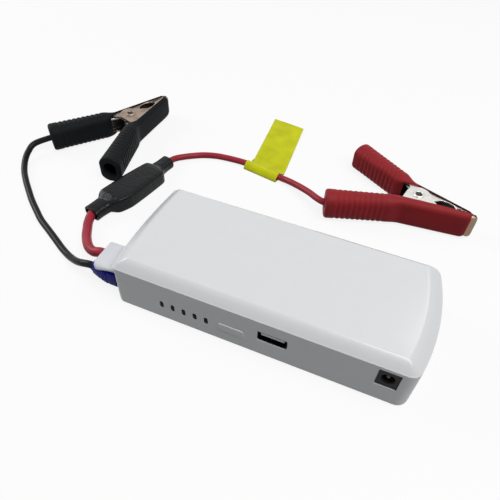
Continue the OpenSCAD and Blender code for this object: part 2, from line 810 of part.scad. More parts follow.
// Height of a jaw's back over its inside, u along the clamp.
function back_at(u) = tip_back + (bend_back - tip_back) * u / bend_u;

// Outline of a jaw's cheek, from the tip back along the outside and home along the inside.
module cheek(ear) {
    hd = handle_l - 5;
    difference() {
        union() {
            polygon(concat(
                [[0, 0.2], [0, tip_back], [bend_u, back_at(bend_u)],
                 handle_point(8, handle_half(8) - grip_wall),
                 handle_point(hd, handle_half(hd) - grip_wall),
                 handle_point(hd, grip_wall - handle_half(hd)),
                 handle_point(5, grip_wall - handle_half(5)),
                 [bend_u + 1, 8.4], [bend_u + 3, 4.5], [-pivot_back - 5, 2],
                 [-pivot_back, -2], [-pivot_back + 8, 0.3],
                 [-24, 1.6], [-21.5, 3.9], [-17.5, 4.3], [-14, 3.2], [-12.2, 0.9]],
                [for (i = [0:4]) each [[-11.4 + i * 2.2, 0.2], [-10.4 + i * 2.2, 1.3]]]));
            translate(pivot) circle(r = ear, $fn = 48);
        }
        translate(pivot) circle(d = rivet_d + 2 * run, $fn = 48);
    }
}

// The space between a jaw's cheeks: everything inside its back and its tip plate.
module cheek_void() {
    hd = handle_l;
    polygon([[-sheet, -30], [-sheet, tip_back - sheet], [bend_u, back_at(bend_u) - sheet],
        handle_point(8, handle_half(8) - grip_wall - sheet),
        handle_point(hd, handle_half(hd) - grip_wall - sheet),
        handle_point(hd, -40), [bend_u, -30]]);
}

module jaw(width, ear) {
    translate([0, 0, mid_z - width / 2]) difference() {
        linear_extrude(width) cheek(ear);
        translate([0, 0, sheet]) linear_extrude(width - 2 * sheet) cheek_void();
    }
}

function soft_box(w, h, corner) = [for (c = [[1, 1, 0], [-1, 1, 90], [-1, -1, 180], [1, -1, 270]])
    for (i = [0:4]) let (a = c[2] + 22.5 * i)
    [c[0] * (w / 2 - corner) + corner * cos(a), c[1] * (h / 2 - corner) + corner * sin(a)]];

// A cross-section of a grip, square to a line at the given angle through the point p.
module grip_section(p, angle, w, h, corner) {
    translate([p[0], p[1], mid_z]) rotate([0, 0, angle]) rotate([90, 0, 90])
        linear_extrude(eps) polygon(soft_box(w, h, corner));
}

// The rubber grip of one arm: a tube on the handle and a channel over the jaw's back.
module grip(width, lip, front_gap) {
    tall = width == outer_w ? grip_h : grip_h - (outer_w - inner_w);
    front = -front_gap;
    cover = 1.1;
    deep = lip + cover;
    tip_deep = min(deep, cover + tip_back + 1.2);
    difference() {
        union() {
            hull() {
                grip_section(handle_point(0.5, 0), -grip_slope, 2 * handle_half(0.5), grip_h, 4.6);
                grip_section(handle_point(handle_l, 0), -grip_slope, grip_rear_w, grip_h, 6.4);
            }
            hull() {
                grip_section([bend_u - 2.5, back_at(bend_u) + cover + 0.6 - (deep + 1) / 2], 0,
                    deep + 1, tall, min(1.6, deep / 2.2));
                grip_section([front, back_at(front) + cover - tip_deep / 2], 0,
                    tip_deep, tall, min(1.6, tip_deep / 2.2));
            }
        }
        // room for the metal arm, open at the rear and along the jaw's inside
        translate([0, 0, mid_z - width / 2 - touch]) linear_extrude(width + 2 * touch)
            polygon([[5, -30], [5, tip_back + touch], [0, tip_back + touch],
                [bend_u, back_at(bend_u) + touch],
                handle_point(8, handle_half(8) - grip_wall + touch),
                handle_point(handle_l + 5, handle_half(handle_l + 5) - grip_wall + touch),
                handle_point(handle_l + 5, grip_wall - touch - handle_half(handle_l + 5)),
                handle_point(5, grip_wall - touch - handle_half(5)),
                [bend_u + 0.5, 6.5], [bend_u + 0.5, -30]]);
    }
}

module outer_jaw() { mirror([0, 1, 0]) jaw(outer_w, ear_r); }
module inner_jaw() { jaw(inner_w, ear_r - 0.6); }
module outer_grip(lip, front_gap) { mirror([0, 1, 0]) grip(outer_w, lip, front_gap); }
module inner_grip(front_gap) { grip(inner_w, thin_lip, front_gap); }

module rivet() {
    translate([pivot[0], pivot[1], mid_z]) difference() {
        union() {
            cylinder(d = rivet_d, h = outer_w + 1, center = true);
            for (s = [-1, 1]) translate([0, 0, s * (outer_w / 2 + 0.1 + 0.35)])
                cylinder(d = rivet_d + 3, h = 0.7, center = true);
        }
        cylinder(d = rivet_d - 1.8, h = grip_h + 2, center = true);
    }
}

// Torsion spring: coils round the rivet, and a leg along each handle.
spring_pitch = spring_wire + 0.45;
leg_l = 32;
// each leg leaves the coil on a line that clears the inside of its handle's bend
to_bend = [bend_u, back_at(bend_u) - sheet] - pivot;
leg_angle = atan2(to_bend[1], to_bend[0]) + asin((spring_r + spring_wire / 2 + 0.2) / norm(to_bend));
leg_touch = leg_angle - 90;
leg_end = pivot + spring_r * [cos(leg_touch), sin(leg_touch)] + leg_l * [cos(leg_angle), sin(leg_angle)];
coil_sweep = 360 * spring_turns + 2 * leg_touch;
spring_rise = spring_pitch * coil_sweep / 360;
coil_steps = round(coil_sweep / 45);
coil_points = [for (i = [0:coil_steps]) let (a = -leg_touch + coil_sweep * i / coil_steps)
    [pivot[0] + spring_r * cos(a), pivot[1] + spring_r * sin(a),
     mid_z - spring_rise / 2 + spring_rise * i / coil_steps]];
spring_points = concat(
    [[leg_end[0], -leg_end[1], mid_z - spring_rise / 2]], coil_points,
    [[leg_end[0], leg_end[1], mid_z + spring_rise / 2]]);
// least clear gap between two places on the spring's wire that are not neighbours
spring_gap = min([for (i = [0:coil_steps - 5]) for (j = [i + 5:coil_steps])
    norm(coil_points[i] - coil_points[j])]) - spring_wire;
echo(spring_gap = spring_gap);

module spring() {
    sweep(spring_points, spring_wire / 2, 6);
}

// The crimped lug that fixes a lead to its arm, inside the grip.
crimp_d = 12;
crimp_l = 9;
module crimp(lead_d) {
    translate([0, 0, mid_z]) {
        translate([handle_point(handle_l - crimp_d, 0)[0], handle_point(handle_l - crimp_d, 0)[1], 0])
            rotate([0, 0, -grip_slope]) rotate([0, 90, 0]) cylinder(d = lead_d + 0.8, h = crimp_l);
        translate([handle_point(handle_l - crimp_d - crimp_l, 0)[0],
            handle_point(handle_l - crimp_d - crimp_l, 0)[1], -2.2])
            rotate([0, 0, -grip_slope]) translate([-1, 0, 0])
            cube([9, handle_half(handle_l - crimp_d - crimp_l - 9) - grip_wall - sheet - touch - 0.25, 4.4]);
    }
}

function clamp_world(c, p, z) = [c[0][0] + p[0] * cos(c[1]) - p[1] * sin(c[1]),
                                 c[0][1] + p[0] * sin(c[1]) + p[1] * cos(c[1]), z];
function outer_side(p) = [p[0], -p[1]];
black_entry = [clamp_world(black_clamp, handle_point(handle_l + 0.5, 0.4), mid_z - 0.4),
    clamp_world(black_clamp, handle_point(handle_l - 5, 0), mid_z),
    clamp_world(black_clamp, handle_point(handle_l - crimp_d + touch, 0), mid_z)];
red_entry = [clamp_world(red_clamp, outer_side(handle_point(handle_l - 3, 0)), mid_z),
    clamp_world(red_clamp, outer_side(handle_point(handle_l - crimp_d + touch, 0)), mid_z)];

// ---------------------------------------------------------------- lead routes

plug_red = [plug_x0 - touch, socket_y + contact_pitch / 2, socket_z];
plug_black = [plug_x0 - touch, socket_y - contact_pitch / 2, socket_z];
floor_red = red_d / 2 + 0.1;
floor_black = black_d / 2 + 0.1;
floor_flag = red_d / 2 + flag_t + 0.15;

// Black lead, from the plug to the black clamp.
black_route = concat(
    [plug_black, plug_black - [3, 0, 0]],
    [[-95, -23.7, 9], [-99.4, -22.8, 7.1], [-104.2, -21, 5], [-109.8, -18.5, 3.2],
     [-116.4, -15.2, 2.1], [-123.6, -11.3, floor_black], [-132, -6.8, floor_black], [-141, -2, floor_black], [-149, 3.5, floor_black],
     [-157, 9.3, floor_black], [-165, 15.9, floor_black], [-173, 22.8, floor_black],
     [-180.5, 30.2, floor_black], [-186.2, 38.1, 2.9], [-189, 45.1, 4.4], [-188.4, 51.2, 6.6]],
    black_entry);

// Short red lead, from the plug to the lead module.
red_short_route = concat(
    [plug_red, plug_red - [3, 0, 0]],
    [[-95.1, -14.7, 8.7], [-99.9, -12.4, 7.2], [-104.6, -8.3, 5.6], [-108.8, -3.5, 4.3],
     [-112.3, 1.7, 3.5], [-115.4, 7, 3.2]],
    module_entry_a);

// Long red lead, from the lead module to the red clamp.
red_long_route = concat(
    module_entry_b,
    [[-100.6, 80.4, 3], [-97, 84.8, 2.5], [-92.6, 88.8, floor_red], [-86, 92.8, floor_red], [-78, 95.5, floor_red],
     [-69, 96.6, floor_red], [-60, 96.4, floor_flag - 0.1], [-54.6, 95.7, floor_flag],
     [-42.4, 93.4, floor_flag], [-30.2, 91.1, floor_flag], [-24.4, 88.8, 3.6],
     [-16.3, 84.6, 5.2], [-9, 79.9, 6.8], [-4.4, 76.3, 7.8],
     [0.2, 73.6, 8.5]],
    red_entry);

module black_lead() { color([0.08, 0.08, 0.09]) sweep(black_route, black_d / 2); }
module red_lead_short() { color("firebrick") sweep(red_short_route, short_d / 2); }
module red_lead_long() { color("firebrick") sweep(red_long_route, red_d / 2); }

module red_outer_jaw() { color("silver") place_clamp(red_clamp) outer_jaw(); }
module red_inner_jaw() { color("silver") place_clamp(red_clamp) inner_jaw(); }
module red_outer_grip() { color("firebrick") place_clamp(red_clamp)
    outer_grip(deep_lip, red_cover_front); }
module red_inner_grip() { color("firebrick") place_clamp(red_clamp)
    inner_grip(red_cover_front); }
module red_rivet() { color("silver") place_clamp(red_clamp) rivet(); }
module red_spring() { color("gray") place_clamp(red_clamp) spring(); }
module red_crimp() { color("goldenrod") place_clamp(red_clamp) mirror([0, 1, 0]) crimp(red_d); }
module black_outer_jaw() { color([0.8, 0.6, 0.5]) place_clamp(black_clamp) outer_jaw(); }
module black_inner_jaw() { color([0.8, 0.6, 0.5]) place_clamp(black_clamp) inner_jaw(); }
module black_outer_grip() { color([0.12, 0.12, 0.13]) place_clamp(black_clamp)
    outer_grip(thin_lip, black_cover_front); }
module black_inner_grip() { color([0.12, 0.12, 0.13]) place_clamp(black_clamp)
    inner_grip(black_cover_front); }
module black_rivet() { color("silver") place_clamp(black_clamp) rivet(); }
module black_spring() { color("gray") place_clamp(black_clamp) spring(); }
module black_crimp() { color("goldenrod") place_clamp(black_clamp) crimp(black_d); }

top_cover();
bottom_case();
case_screws();
power_button();
switch_plunger();
light_windows();
status_leds();
indicator_board();
switch_body();
link_pins();
main_board();
board_screws();
usb_shell();
usb_tongue();
charge_jack();
jack_pin();
power_inductor();
power_transistors();
capacitors();
controller_chip();
battery_cell(0);  // battery_cell_1
battery_cell(1);  // battery_cell_2
battery_cell(2);  // battery_cell_3
battery_pad();
cell_links();
positive_wire();
negative_wire();
output_socket();
output_pins();
cover_anchor();
socket_cover();
plug_body();
plug_contacts();
black_lead();
red_lead_short();
red_lead_long();
lead_module();
module_board();
module_diodes();
flag_label();
red_outer_jaw();
red_outer_grip();
red_inner_jaw();
red_inner_grip();
red_rivet();
red_spring();
red_crimp();
black_outer_jaw();
black_outer_grip();
black_inner_jaw();
black_inner_grip();
black_rivet();
black_spring();
black_crimp();
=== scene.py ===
"""Looks of the jump starter pack: a white case, a blue plug, three leads and two spring clamps.

Lengths are in metres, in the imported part's frame.
"""
import bisect
import json
from math import asin, atan2, copysign, cos, hypot, pi, radians, sin, sqrt, tan

import bmesh
import bpy
from mathutils import Matrix, Vector
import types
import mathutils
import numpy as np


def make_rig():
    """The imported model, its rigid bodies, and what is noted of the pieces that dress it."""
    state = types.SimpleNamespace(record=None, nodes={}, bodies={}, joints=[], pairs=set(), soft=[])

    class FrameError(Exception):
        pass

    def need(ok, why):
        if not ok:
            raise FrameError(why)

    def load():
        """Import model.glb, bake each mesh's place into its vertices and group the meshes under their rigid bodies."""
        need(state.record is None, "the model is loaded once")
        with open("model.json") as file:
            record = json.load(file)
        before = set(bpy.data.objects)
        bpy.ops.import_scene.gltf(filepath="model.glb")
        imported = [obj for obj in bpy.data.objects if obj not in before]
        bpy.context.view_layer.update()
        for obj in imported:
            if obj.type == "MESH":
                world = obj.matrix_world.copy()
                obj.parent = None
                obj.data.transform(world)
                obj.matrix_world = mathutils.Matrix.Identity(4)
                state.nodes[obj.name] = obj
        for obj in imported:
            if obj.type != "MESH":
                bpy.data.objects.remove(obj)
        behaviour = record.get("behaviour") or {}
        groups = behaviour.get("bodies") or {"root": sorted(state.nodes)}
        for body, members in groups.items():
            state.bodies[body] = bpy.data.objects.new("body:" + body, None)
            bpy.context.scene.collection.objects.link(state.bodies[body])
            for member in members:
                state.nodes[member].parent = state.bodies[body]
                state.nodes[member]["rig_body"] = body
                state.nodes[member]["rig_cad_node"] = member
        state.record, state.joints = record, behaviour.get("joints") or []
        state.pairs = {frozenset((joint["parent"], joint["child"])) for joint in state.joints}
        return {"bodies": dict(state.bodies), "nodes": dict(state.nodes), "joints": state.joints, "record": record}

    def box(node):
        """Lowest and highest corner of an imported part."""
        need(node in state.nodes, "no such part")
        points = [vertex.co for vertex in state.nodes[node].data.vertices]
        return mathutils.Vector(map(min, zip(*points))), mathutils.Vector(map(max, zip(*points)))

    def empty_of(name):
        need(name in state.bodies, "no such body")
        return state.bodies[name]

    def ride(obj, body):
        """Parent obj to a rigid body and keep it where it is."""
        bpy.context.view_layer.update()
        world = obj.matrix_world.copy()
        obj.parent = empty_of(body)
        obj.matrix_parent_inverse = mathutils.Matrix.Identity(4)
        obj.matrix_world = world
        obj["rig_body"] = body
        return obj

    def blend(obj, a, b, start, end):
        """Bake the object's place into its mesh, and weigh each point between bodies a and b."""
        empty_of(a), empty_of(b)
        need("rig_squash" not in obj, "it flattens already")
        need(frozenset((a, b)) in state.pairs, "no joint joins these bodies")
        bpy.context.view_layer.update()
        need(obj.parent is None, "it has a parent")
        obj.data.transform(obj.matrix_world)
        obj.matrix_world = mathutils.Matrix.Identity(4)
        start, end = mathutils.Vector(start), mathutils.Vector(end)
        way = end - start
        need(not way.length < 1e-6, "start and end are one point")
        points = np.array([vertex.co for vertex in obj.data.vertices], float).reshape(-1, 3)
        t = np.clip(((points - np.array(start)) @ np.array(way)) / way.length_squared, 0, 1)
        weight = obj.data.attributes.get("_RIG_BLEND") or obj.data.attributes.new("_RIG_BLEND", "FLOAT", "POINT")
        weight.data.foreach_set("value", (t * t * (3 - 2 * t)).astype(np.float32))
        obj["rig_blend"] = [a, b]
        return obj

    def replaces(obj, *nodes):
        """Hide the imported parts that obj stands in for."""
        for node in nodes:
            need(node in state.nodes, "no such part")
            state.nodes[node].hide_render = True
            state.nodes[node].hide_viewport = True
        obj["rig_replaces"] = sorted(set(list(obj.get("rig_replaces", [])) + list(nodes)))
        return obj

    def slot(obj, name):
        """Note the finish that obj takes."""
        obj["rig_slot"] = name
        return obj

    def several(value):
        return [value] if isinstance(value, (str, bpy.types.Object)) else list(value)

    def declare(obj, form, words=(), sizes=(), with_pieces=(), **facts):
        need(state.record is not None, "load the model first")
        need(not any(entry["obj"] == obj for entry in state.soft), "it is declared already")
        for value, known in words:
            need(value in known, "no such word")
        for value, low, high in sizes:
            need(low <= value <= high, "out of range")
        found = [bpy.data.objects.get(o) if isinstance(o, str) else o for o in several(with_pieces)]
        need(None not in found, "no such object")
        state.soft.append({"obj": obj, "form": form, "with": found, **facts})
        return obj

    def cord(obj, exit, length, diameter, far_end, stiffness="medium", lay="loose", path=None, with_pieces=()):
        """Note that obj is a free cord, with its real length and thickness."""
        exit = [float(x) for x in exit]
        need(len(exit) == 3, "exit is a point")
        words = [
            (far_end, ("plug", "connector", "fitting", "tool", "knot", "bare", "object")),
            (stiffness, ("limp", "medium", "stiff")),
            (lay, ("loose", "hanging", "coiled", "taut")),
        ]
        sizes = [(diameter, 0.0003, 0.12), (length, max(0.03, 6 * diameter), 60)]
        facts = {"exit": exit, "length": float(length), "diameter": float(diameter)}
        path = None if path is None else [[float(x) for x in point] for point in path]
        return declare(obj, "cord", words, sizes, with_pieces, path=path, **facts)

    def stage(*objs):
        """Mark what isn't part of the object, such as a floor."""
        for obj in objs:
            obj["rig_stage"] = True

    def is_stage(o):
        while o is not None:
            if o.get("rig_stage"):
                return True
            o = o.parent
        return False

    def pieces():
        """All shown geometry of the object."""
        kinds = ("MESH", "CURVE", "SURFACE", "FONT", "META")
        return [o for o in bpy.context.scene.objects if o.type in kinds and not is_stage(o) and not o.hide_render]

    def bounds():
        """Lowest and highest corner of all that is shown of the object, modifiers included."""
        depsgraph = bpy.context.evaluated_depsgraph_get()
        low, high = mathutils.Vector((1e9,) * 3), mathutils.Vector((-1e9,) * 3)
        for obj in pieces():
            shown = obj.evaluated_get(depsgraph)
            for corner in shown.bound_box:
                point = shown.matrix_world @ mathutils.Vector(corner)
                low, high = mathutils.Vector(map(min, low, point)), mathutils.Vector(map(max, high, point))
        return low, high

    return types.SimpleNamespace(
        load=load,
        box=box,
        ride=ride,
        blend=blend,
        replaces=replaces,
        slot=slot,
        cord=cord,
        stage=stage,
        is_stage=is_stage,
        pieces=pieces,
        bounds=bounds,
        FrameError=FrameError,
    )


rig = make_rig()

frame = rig.load()
cad_low, cad_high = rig.bounds()
scene = bpy.context.scene
scene.view_settings.view_transform = "Standard"
MM = 0.001

# ------ camera

IMAGE = 500
FOCAL_PX = 473.07
SENSOR = 36
NEAREST = 0.01
CAMERA_AT = Vector((0.03727, -0.13952, 0.18821))
AZIMUTH, ELEVATION, ROLL = (radians(x) for x in (20.614, 46.558, 2.888))


def add(name, data):
    """A new object in the scene."""
    obj = bpy.data.objects.new(name, data)
    scene.collection.objects.link(obj)
    return obj


back = Vector((sin(AZIMUTH) * cos(ELEVATION), -cos(AZIMUTH) * cos(ELEVATION), sin(ELEVATION)))
right = Vector((0, 0, 1)).cross(back).normalized()
up = back.cross(right)
turned_right = right * cos(ROLL) + up * sin(ROLL)
turned_up = up * cos(ROLL) - right * sin(ROLL)
data = bpy.data.cameras.new("camera")
data.sensor_width = SENSOR
data.lens = FOCAL_PX / IMAGE * SENSOR
data.clip_start = NEAREST
camera = add("camera", data)
rows = Matrix((turned_right, turned_up, back)).transposed().to_4x4()
camera.matrix_world = Matrix.Translation(CAMERA_AT) @ rows
scene.camera = camera

# ------ materials

MATERIALS = {}


def put(tree, socket, value):
    """Links value to the socket if it is a socket itself, and sets it otherwise."""
    if isinstance(value, bpy.types.NodeSocket):
        tree.links.new(value, socket)
    else:
        socket.default_value = value


def feed(tree, target, **inputs):
    """Puts values on a node's inputs; underscores in a name stand for spaces."""
    for key, value in inputs.items():
        put(tree, target.inputs[key.replace("_", " ")], value)


def node(tree, kind, props=None, **inputs):
    made = tree.nodes.new("ShaderNode" + kind)
    for key, value in (props or {}).items():
        setattr(made, key, value)
    feed(tree, made, **inputs)
    return made


def blank(name):
    """Starts a material; returns its tree, its Principled shader and object coordinates."""
    made = MATERIALS[name] = bpy.data.materials.new(name)
    made.use_nodes = True
    tree = made.node_tree
    coords = node(tree, "TexCoord").outputs["Object"]
    return tree, tree.nodes["Principled BSDF"], coords


def noise(tree, coords, size, detail=2.0, rough=0.5, stretch=None):
    """Noise with features about size metres across, stretched along an axis if asked."""
    vector = coords
    if stretch:
        vector = node(tree, "Mapping", Vector=coords, Scale=stretch).outputs["Vector"]
    return node(tree, "TexNoise", Vector=vector, Scale=1 / size, Detail=detail,
                Roughness=rough).outputs["Fac"]


def spread(tree, value, low, high, start=0.3, end=0.7):
    """Maps start..end of a value to low..high."""
    return node(tree, "MapRange", Value=value, From_Min=start, From_Max=end, To_Min=low,
                To_Max=high).outputs["Result"]


def mix(tree, share, first, second):
    """Blends two colours; the sockets are numbered, as several have the same name."""
    made = node(tree, "Mix", {"data_type": "RGBA"})
    for place, value in ((0, share), (6, first), (7, second)):
        put(tree, made.inputs[place], value)
    return made.outputs[2]


def bump(tree, height, depth, normal=None):
    made = node(tree, "Bump", Height=height, Distance=depth, Strength=1.0)
    if normal:
        feed(tree, made, Normal=normal)
    return made.outputs["Normal"]


def shade(colour, level):
    return [min(1, c * level) for c in colour] + [1]


PATCH, WAVE = 9 * MM, 5 * MM  # size of a moulded face's patches and of its waves
COAT_ROUGHNESS = 0.12


def moulded(name, colour, rough, grain=0.15, depth=0.01, tint=0.05, coat=0.0, waves=0.0,
            transmission=0.0, shine=0.5, uneven=0.15):
    """Moulded plastic or rubber: fine grain, slightly uneven tone and gloss, and broad waves.

    grain is the grain's size, depth its depth and waves the depth of the waves, in mm.
    """
    tree, shader, coords = blank(name)
    fine = noise(tree, coords, grain * MM, 3.0, 0.6)
    broad = noise(tree, coords, PATCH, 3.0, 0.55)
    tone = mix(tree, spread(tree, broad, 0, 1), shade(colour, 1 - tint), shade(colour, 1 + tint))
    gloss = spread(tree, mix(tree, 0.35, broad, fine), rough * (1 - uneven),
                   min(1, rough * (1 + uneven)))
    normal = bump(tree, fine, depth * MM)
    if waves:
        normal = bump(tree, noise(tree, coords, WAVE), waves * MM, normal)
    feed(tree, shader, Base_Color=tone, Roughness=gloss, Normal=normal, Coat_Weight=coat,
         Coat_Roughness=COAT_ROUGHNESS, Transmission_Weight=transmission,
         Specular_IOR_Level=shine)


def metal(name, colour, other, rough, blotch=0.5):
    """Rolled sheet metal: streaks along the part, worn patches of a second tone, scratches."""
    tree, shader, coords = blank(name)
    lines = noise(tree, coords, 2 * MM, 5.0, 0.65, stretch=(1, 12, 12))
    patches = noise(tree, coords, 6 * MM, 4.0, 0.6)
    share = spread(tree, patches, 0, blotch, 0.35, 0.7)
    tone = mix(tree, share, shade(colour, 1), shade(other, 1))
    tone = mix(tree, spread(tree, lines, 0.0, 0.22), tone, shade(colour, 0.6))
    feed(tree, shader, Base_Color=tone, Roughness=spread(tree, lines, rough * 0.75, rough * 1.35),
         Normal=bump(tree, lines, 0.02 * MM), Metallic=1.0)


def film(name, colour):
    """Label film: plain colour with faint fibres, a soft crease pattern and a satin face."""
    tree, shader, coords = blank(name)
    fibres = noise(tree, coords, 0.5 * MM, 4.0, 0.6, stretch=(1, 4, 1))
    folds = noise(tree, coords, 11 * MM)
    tone = mix(tree, spread(tree, folds, 0, 1), shade(colour, 0.86), shade(colour, 1.1))
    tone = mix(tree, spread(tree, fibres, 0, 0.12), tone, shade(colour, 0.7))
    normal = bump(tree, folds, 0.5 * MM, bump(tree, fibres, 0.015 * MM))
    feed(tree, shader, Base_Color=tone, Roughness=spread(tree, fibres, 0.36, 0.5), Normal=normal,
         Specular_IOR_Level=0.15)


def sleeve(name, colour):
    """Heat-shrink sleeve: satin black with shrink wrinkles running across it."""
    tree, shader, coords = blank(name)
    wrinkles = noise(tree, coords, 5 * MM, 3.0, 0.55, stretch=(1, 2.2, 1))
    grain = noise(tree, coords, 0.35 * MM, 3.0, 0.6)
    tone = mix(tree, spread(tree, grain, 0, 1), shade(colour, 0.8), shade(colour, 1.35))
    normal = bump(tree, wrinkles, 0.35 * MM, bump(tree, grain, 0.02 * MM))
    feed(tree, shader, Base_Color=tone, Roughness=spread(tree, wrinkles, 0.1, 0.22),
         Normal=normal, Specular_IOR_Level=0.16)


# name, colour, roughness, grain size and depth in mm, tint
moulded("white_plastic", (0.74, 0.75, 0.765), 0.26, 0.4, 0.002, 0.008, coat=0.25, waves=0.003,
        uneven=0.05)
moulded("satin_plastic", (0.67, 0.685, 0.7), 0.4, 0.2, 0.006, 0.02)
moulded("black_plastic", (0.009, 0.009, 0.01), 0.45, 0.25, 0.012, 0.1, shine=0.1)
moulded("smoked_lens", (0.002, 0.0023, 0.0026), 0.2, 0.5, 0.001, 0.1, shine=0.03)
moulded("led_resin", (0.6, 0.8, 0.58), 0.3, 0.2, 0.004)
moulded("circuit_board", (0.03, 0.2, 0.08), 0.4, 0.3, 0.02, 0.2)
moulded("ferrite", (0.06, 0.06, 0.065), 0.7, 0.2, 0.03, 0.1)
moulded("foam", (0.03, 0.03, 0.032), 0.9, 0.5, 0.15, 0.2)
moulded("red_rubber", (0.29, 0.021, 0.026), 0.5, 0.16, 0.02, 0.1, shine=0.12)
moulded("red_sheath", (0.36, 0.026, 0.044), 0.28, 0.3, 0.006, 0.1, shine=0.14)
moulded("black_rubber", (0.012, 0.0132, 0.0146), 0.5, 0.16, 0.02, 0.12, shine=0.05)
moulded("black_sheath", (0.009, 0.01, 0.0115), 0.2, 0.3, 0.006, 0.1, shine=0.1)
moulded("blue_plastic", (0.002, 0.005, 0.25), 0.4, 0.25, 0.01, 0.1, shine=0.06)
# painted shade: a dark red rubber that stands for the shade on the red inner grip's front part
moulded("aged_rubber", (0.055, 0.012, 0.013), 0.5, 0.16, 0.02, 0.1, shine=0.05)
moulded("white_rubber", (0.74, 0.75, 0.79), 0.5, 0.2, 0.01, 0.03, transmission=0.1)
# name, colour, colour of the worn patches, roughness
metal("steel", (0.5, 0.5, 0.51), (0.36, 0.35, 0.34), 0.34)
metal("plated_steel", (0.62, 0.62, 0.63), (0.45, 0.44, 0.42), 0.26)
metal("brass", (0.8, 0.6, 0.28), (0.7, 0.55, 0.32), 0.26)
metal("can_aluminium", (0.6, 0.64, 0.7), (0.5, 0.54, 0.6), 0.3)
metal("cell_foil", (0.72, 0.73, 0.75), (0.6, 0.61, 0.63), 0.32)
metal("bright_metal", (0.8, 0.79, 0.76), (0.5, 0.47, 0.43), 0.3)
# painted shade: the dark metal stands for shade in the jaws, on the jack's pin and in the rivets' bores
metal("dark_metal", (0.06, 0.055, 0.05), (0.12, 0.1, 0.08), 0.5)
metal("tan_metal", (0.3, 0.2, 0.145), (0.24, 0.155, 0.11), 0.36)
metal("copper_metal", (0.44, 0.35, 0.29), (0.16, 0.11, 0.08), 0.34, blotch=0.9)
sleeve("black_sleeve", (0.006, 0.0068, 0.008))
film("yellow_film", (0.61, 0.63, 0.01))

for row in frame["record"]["subparts"]:
    kept = frame["nodes"].get(row["node"])
    if kept:
        kept.data.materials.clear()
        kept.data.materials.append(MATERIALS[row["material_slot"]])

# ------ shape helpers

TINY = 1e-6


def mm(*points):
    """Points given in millimetres."""
    return [tuple(c * MM for c in p) for p in points]


def through(keys, x):
    """Values at x of a smooth line through keys, rows of (x, value, value...), no overshoot."""
    places = [k[0] for k in keys]
    i = min(max(bisect.bisect_right(places, x) - 1, 0), len(keys) - 2)
    span = places[i + 1] - places[i]
    t = min(max((x - places[i]) / span, 0), 1)
    out = []
    for c in range(1, len(keys[0])):
        rate = [(b[c] - a[c]) / (b[0] - a[0]) for a, b in zip(keys, keys[1:])]
        inner = [2 * a * b / (a + b) if a * b > 0 else 0.0 for a, b in zip(rate, rate[1:])]
        slopes = [rate[0], *inner, rate[-1]]
        p, q = keys[i][c], keys[i + 1][c]
        out.append(p * (1 + 2 * t) * (1 - t) ** 2 + q * t * t * (3 - 2 * t)
                   + span * (slopes[i] * t * (1 - t) ** 2 - slopes[i + 1] * t * t * (1 - t)))
    return out if len(out) > 1 else out[0]


def steps(a, b, n):
    """n + 1 evenly spaced values from a to b."""
    return [a + (b - a) * i / n for i in range(n + 1)]


def turn(n):
    """n evenly spaced angles round a circle."""
    return steps(0, 2 * pi, n)[:-1]


def rounded(w, h, r, n=5):
    """Outline of a w by h rectangle with corners of radius r, anticlockwise."""
    r = max(min(r, w / 2 - TINY, h / 2 - TINY), TINY)
    out = []
    for quarter, (sx, sy) in enumerate(((1, 1), (-1, 1), (-1, -1), (1, -1))):
        for a in steps(90 * quarter, 90 * quarter + 90, n):
            a = radians(a)
            out.append((sx * (w / 2 - r) + r * cos(a), sy * (h / 2 - r) + r * sin(a)))
    return out


def facing(at, y, w, h, r, n=5):
    """Rounded rectangle that faces the front: w along x and h along z, round at."""
    return [(at.x + a, y, at.z + b) for a, b in rounded(w, h, r, n)]


def panel(at, y, size, rows):
    """Rings of a block that faces the front; rows: (depth from y, inset, corner), in mm."""
    w, h = size
    return [facing(at, y + depth * MM, w - 2 * inset * MM, h - 2 * inset * MM, r * MM)
            for depth, inset, r in rows]


def endways(at, x, *size):
    """Rounded rectangle that faces an end, round at; size: along y, along z, corner, in mm."""
    return [(x, at.y + a, at.z + b) for a, b in rounded(*(c * MM for c in size))]


def loft(rings, caps=(True, True)):
    """Points and faces of a skin through rings with the same number of points."""
    n = len(rings[0])
    points = [p for ring in rings for p in ring]
    faces = []
    for i in range(len(rings) - 1):
        a, b = i * n, (i + 1) * n
        faces += [(a + k, a + (k + 1) % n, b + (k + 1) % n, b + k) for k in range(n)]
    if caps[0]:
        faces.append(tuple(reversed(range(n))))
    if caps[1]:
        faces.append(tuple(range(len(points) - n, len(points))))
    return points, faces


def lathe(profile, at, axis, n=48):
    """Loft of circles round axis 0, 1 or 2 through at; profile: (radius, place on it) pairs."""
    def point(r, a, h):
        offset = [r * cos(a), r * sin(a)]
        offset.insert(axis, h)
        return tuple(c + d for c, d in zip(at, offset))

    return loft([[point(r, a, h) for a in turn(n)] for r, h in profile])


def tube(path, radius, sides=20):
    """Loft of circles along path."""
    rings = []
    for i, p in enumerate(path):
        ahead = (path[min(i + 1, len(path) - 1)] - path[max(i - 1, 0)]).normalized()
        side = Vector((0, 0, 1)).cross(ahead).normalized()
        up = ahead.cross(side)
        rings.append([p + side * (radius * cos(a)) + up * (radius * sin(a))
                      for a in turn(sides)])
    return loft(rings)


def smooth_path(points, per_span=10):
    """Points along a smooth line through the given points."""
    points = [Vector(p) for p in points]
    ends = [2 * points[0] - points[1], *points, 2 * points[-1] - points[-2]]
    out = []
    for a, b, c, d in zip(ends, ends[1:], ends[2:], ends[3:]):
        for i in range(per_span):
            t = i / per_span
            out.append(0.5 * (2 * b + (c - a) * t + (2 * a - 5 * b + 4 * c - d) * t * t
                              + (3 * b - a - 3 * c + d) * t ** 3))
    return [*out, points[-1]]


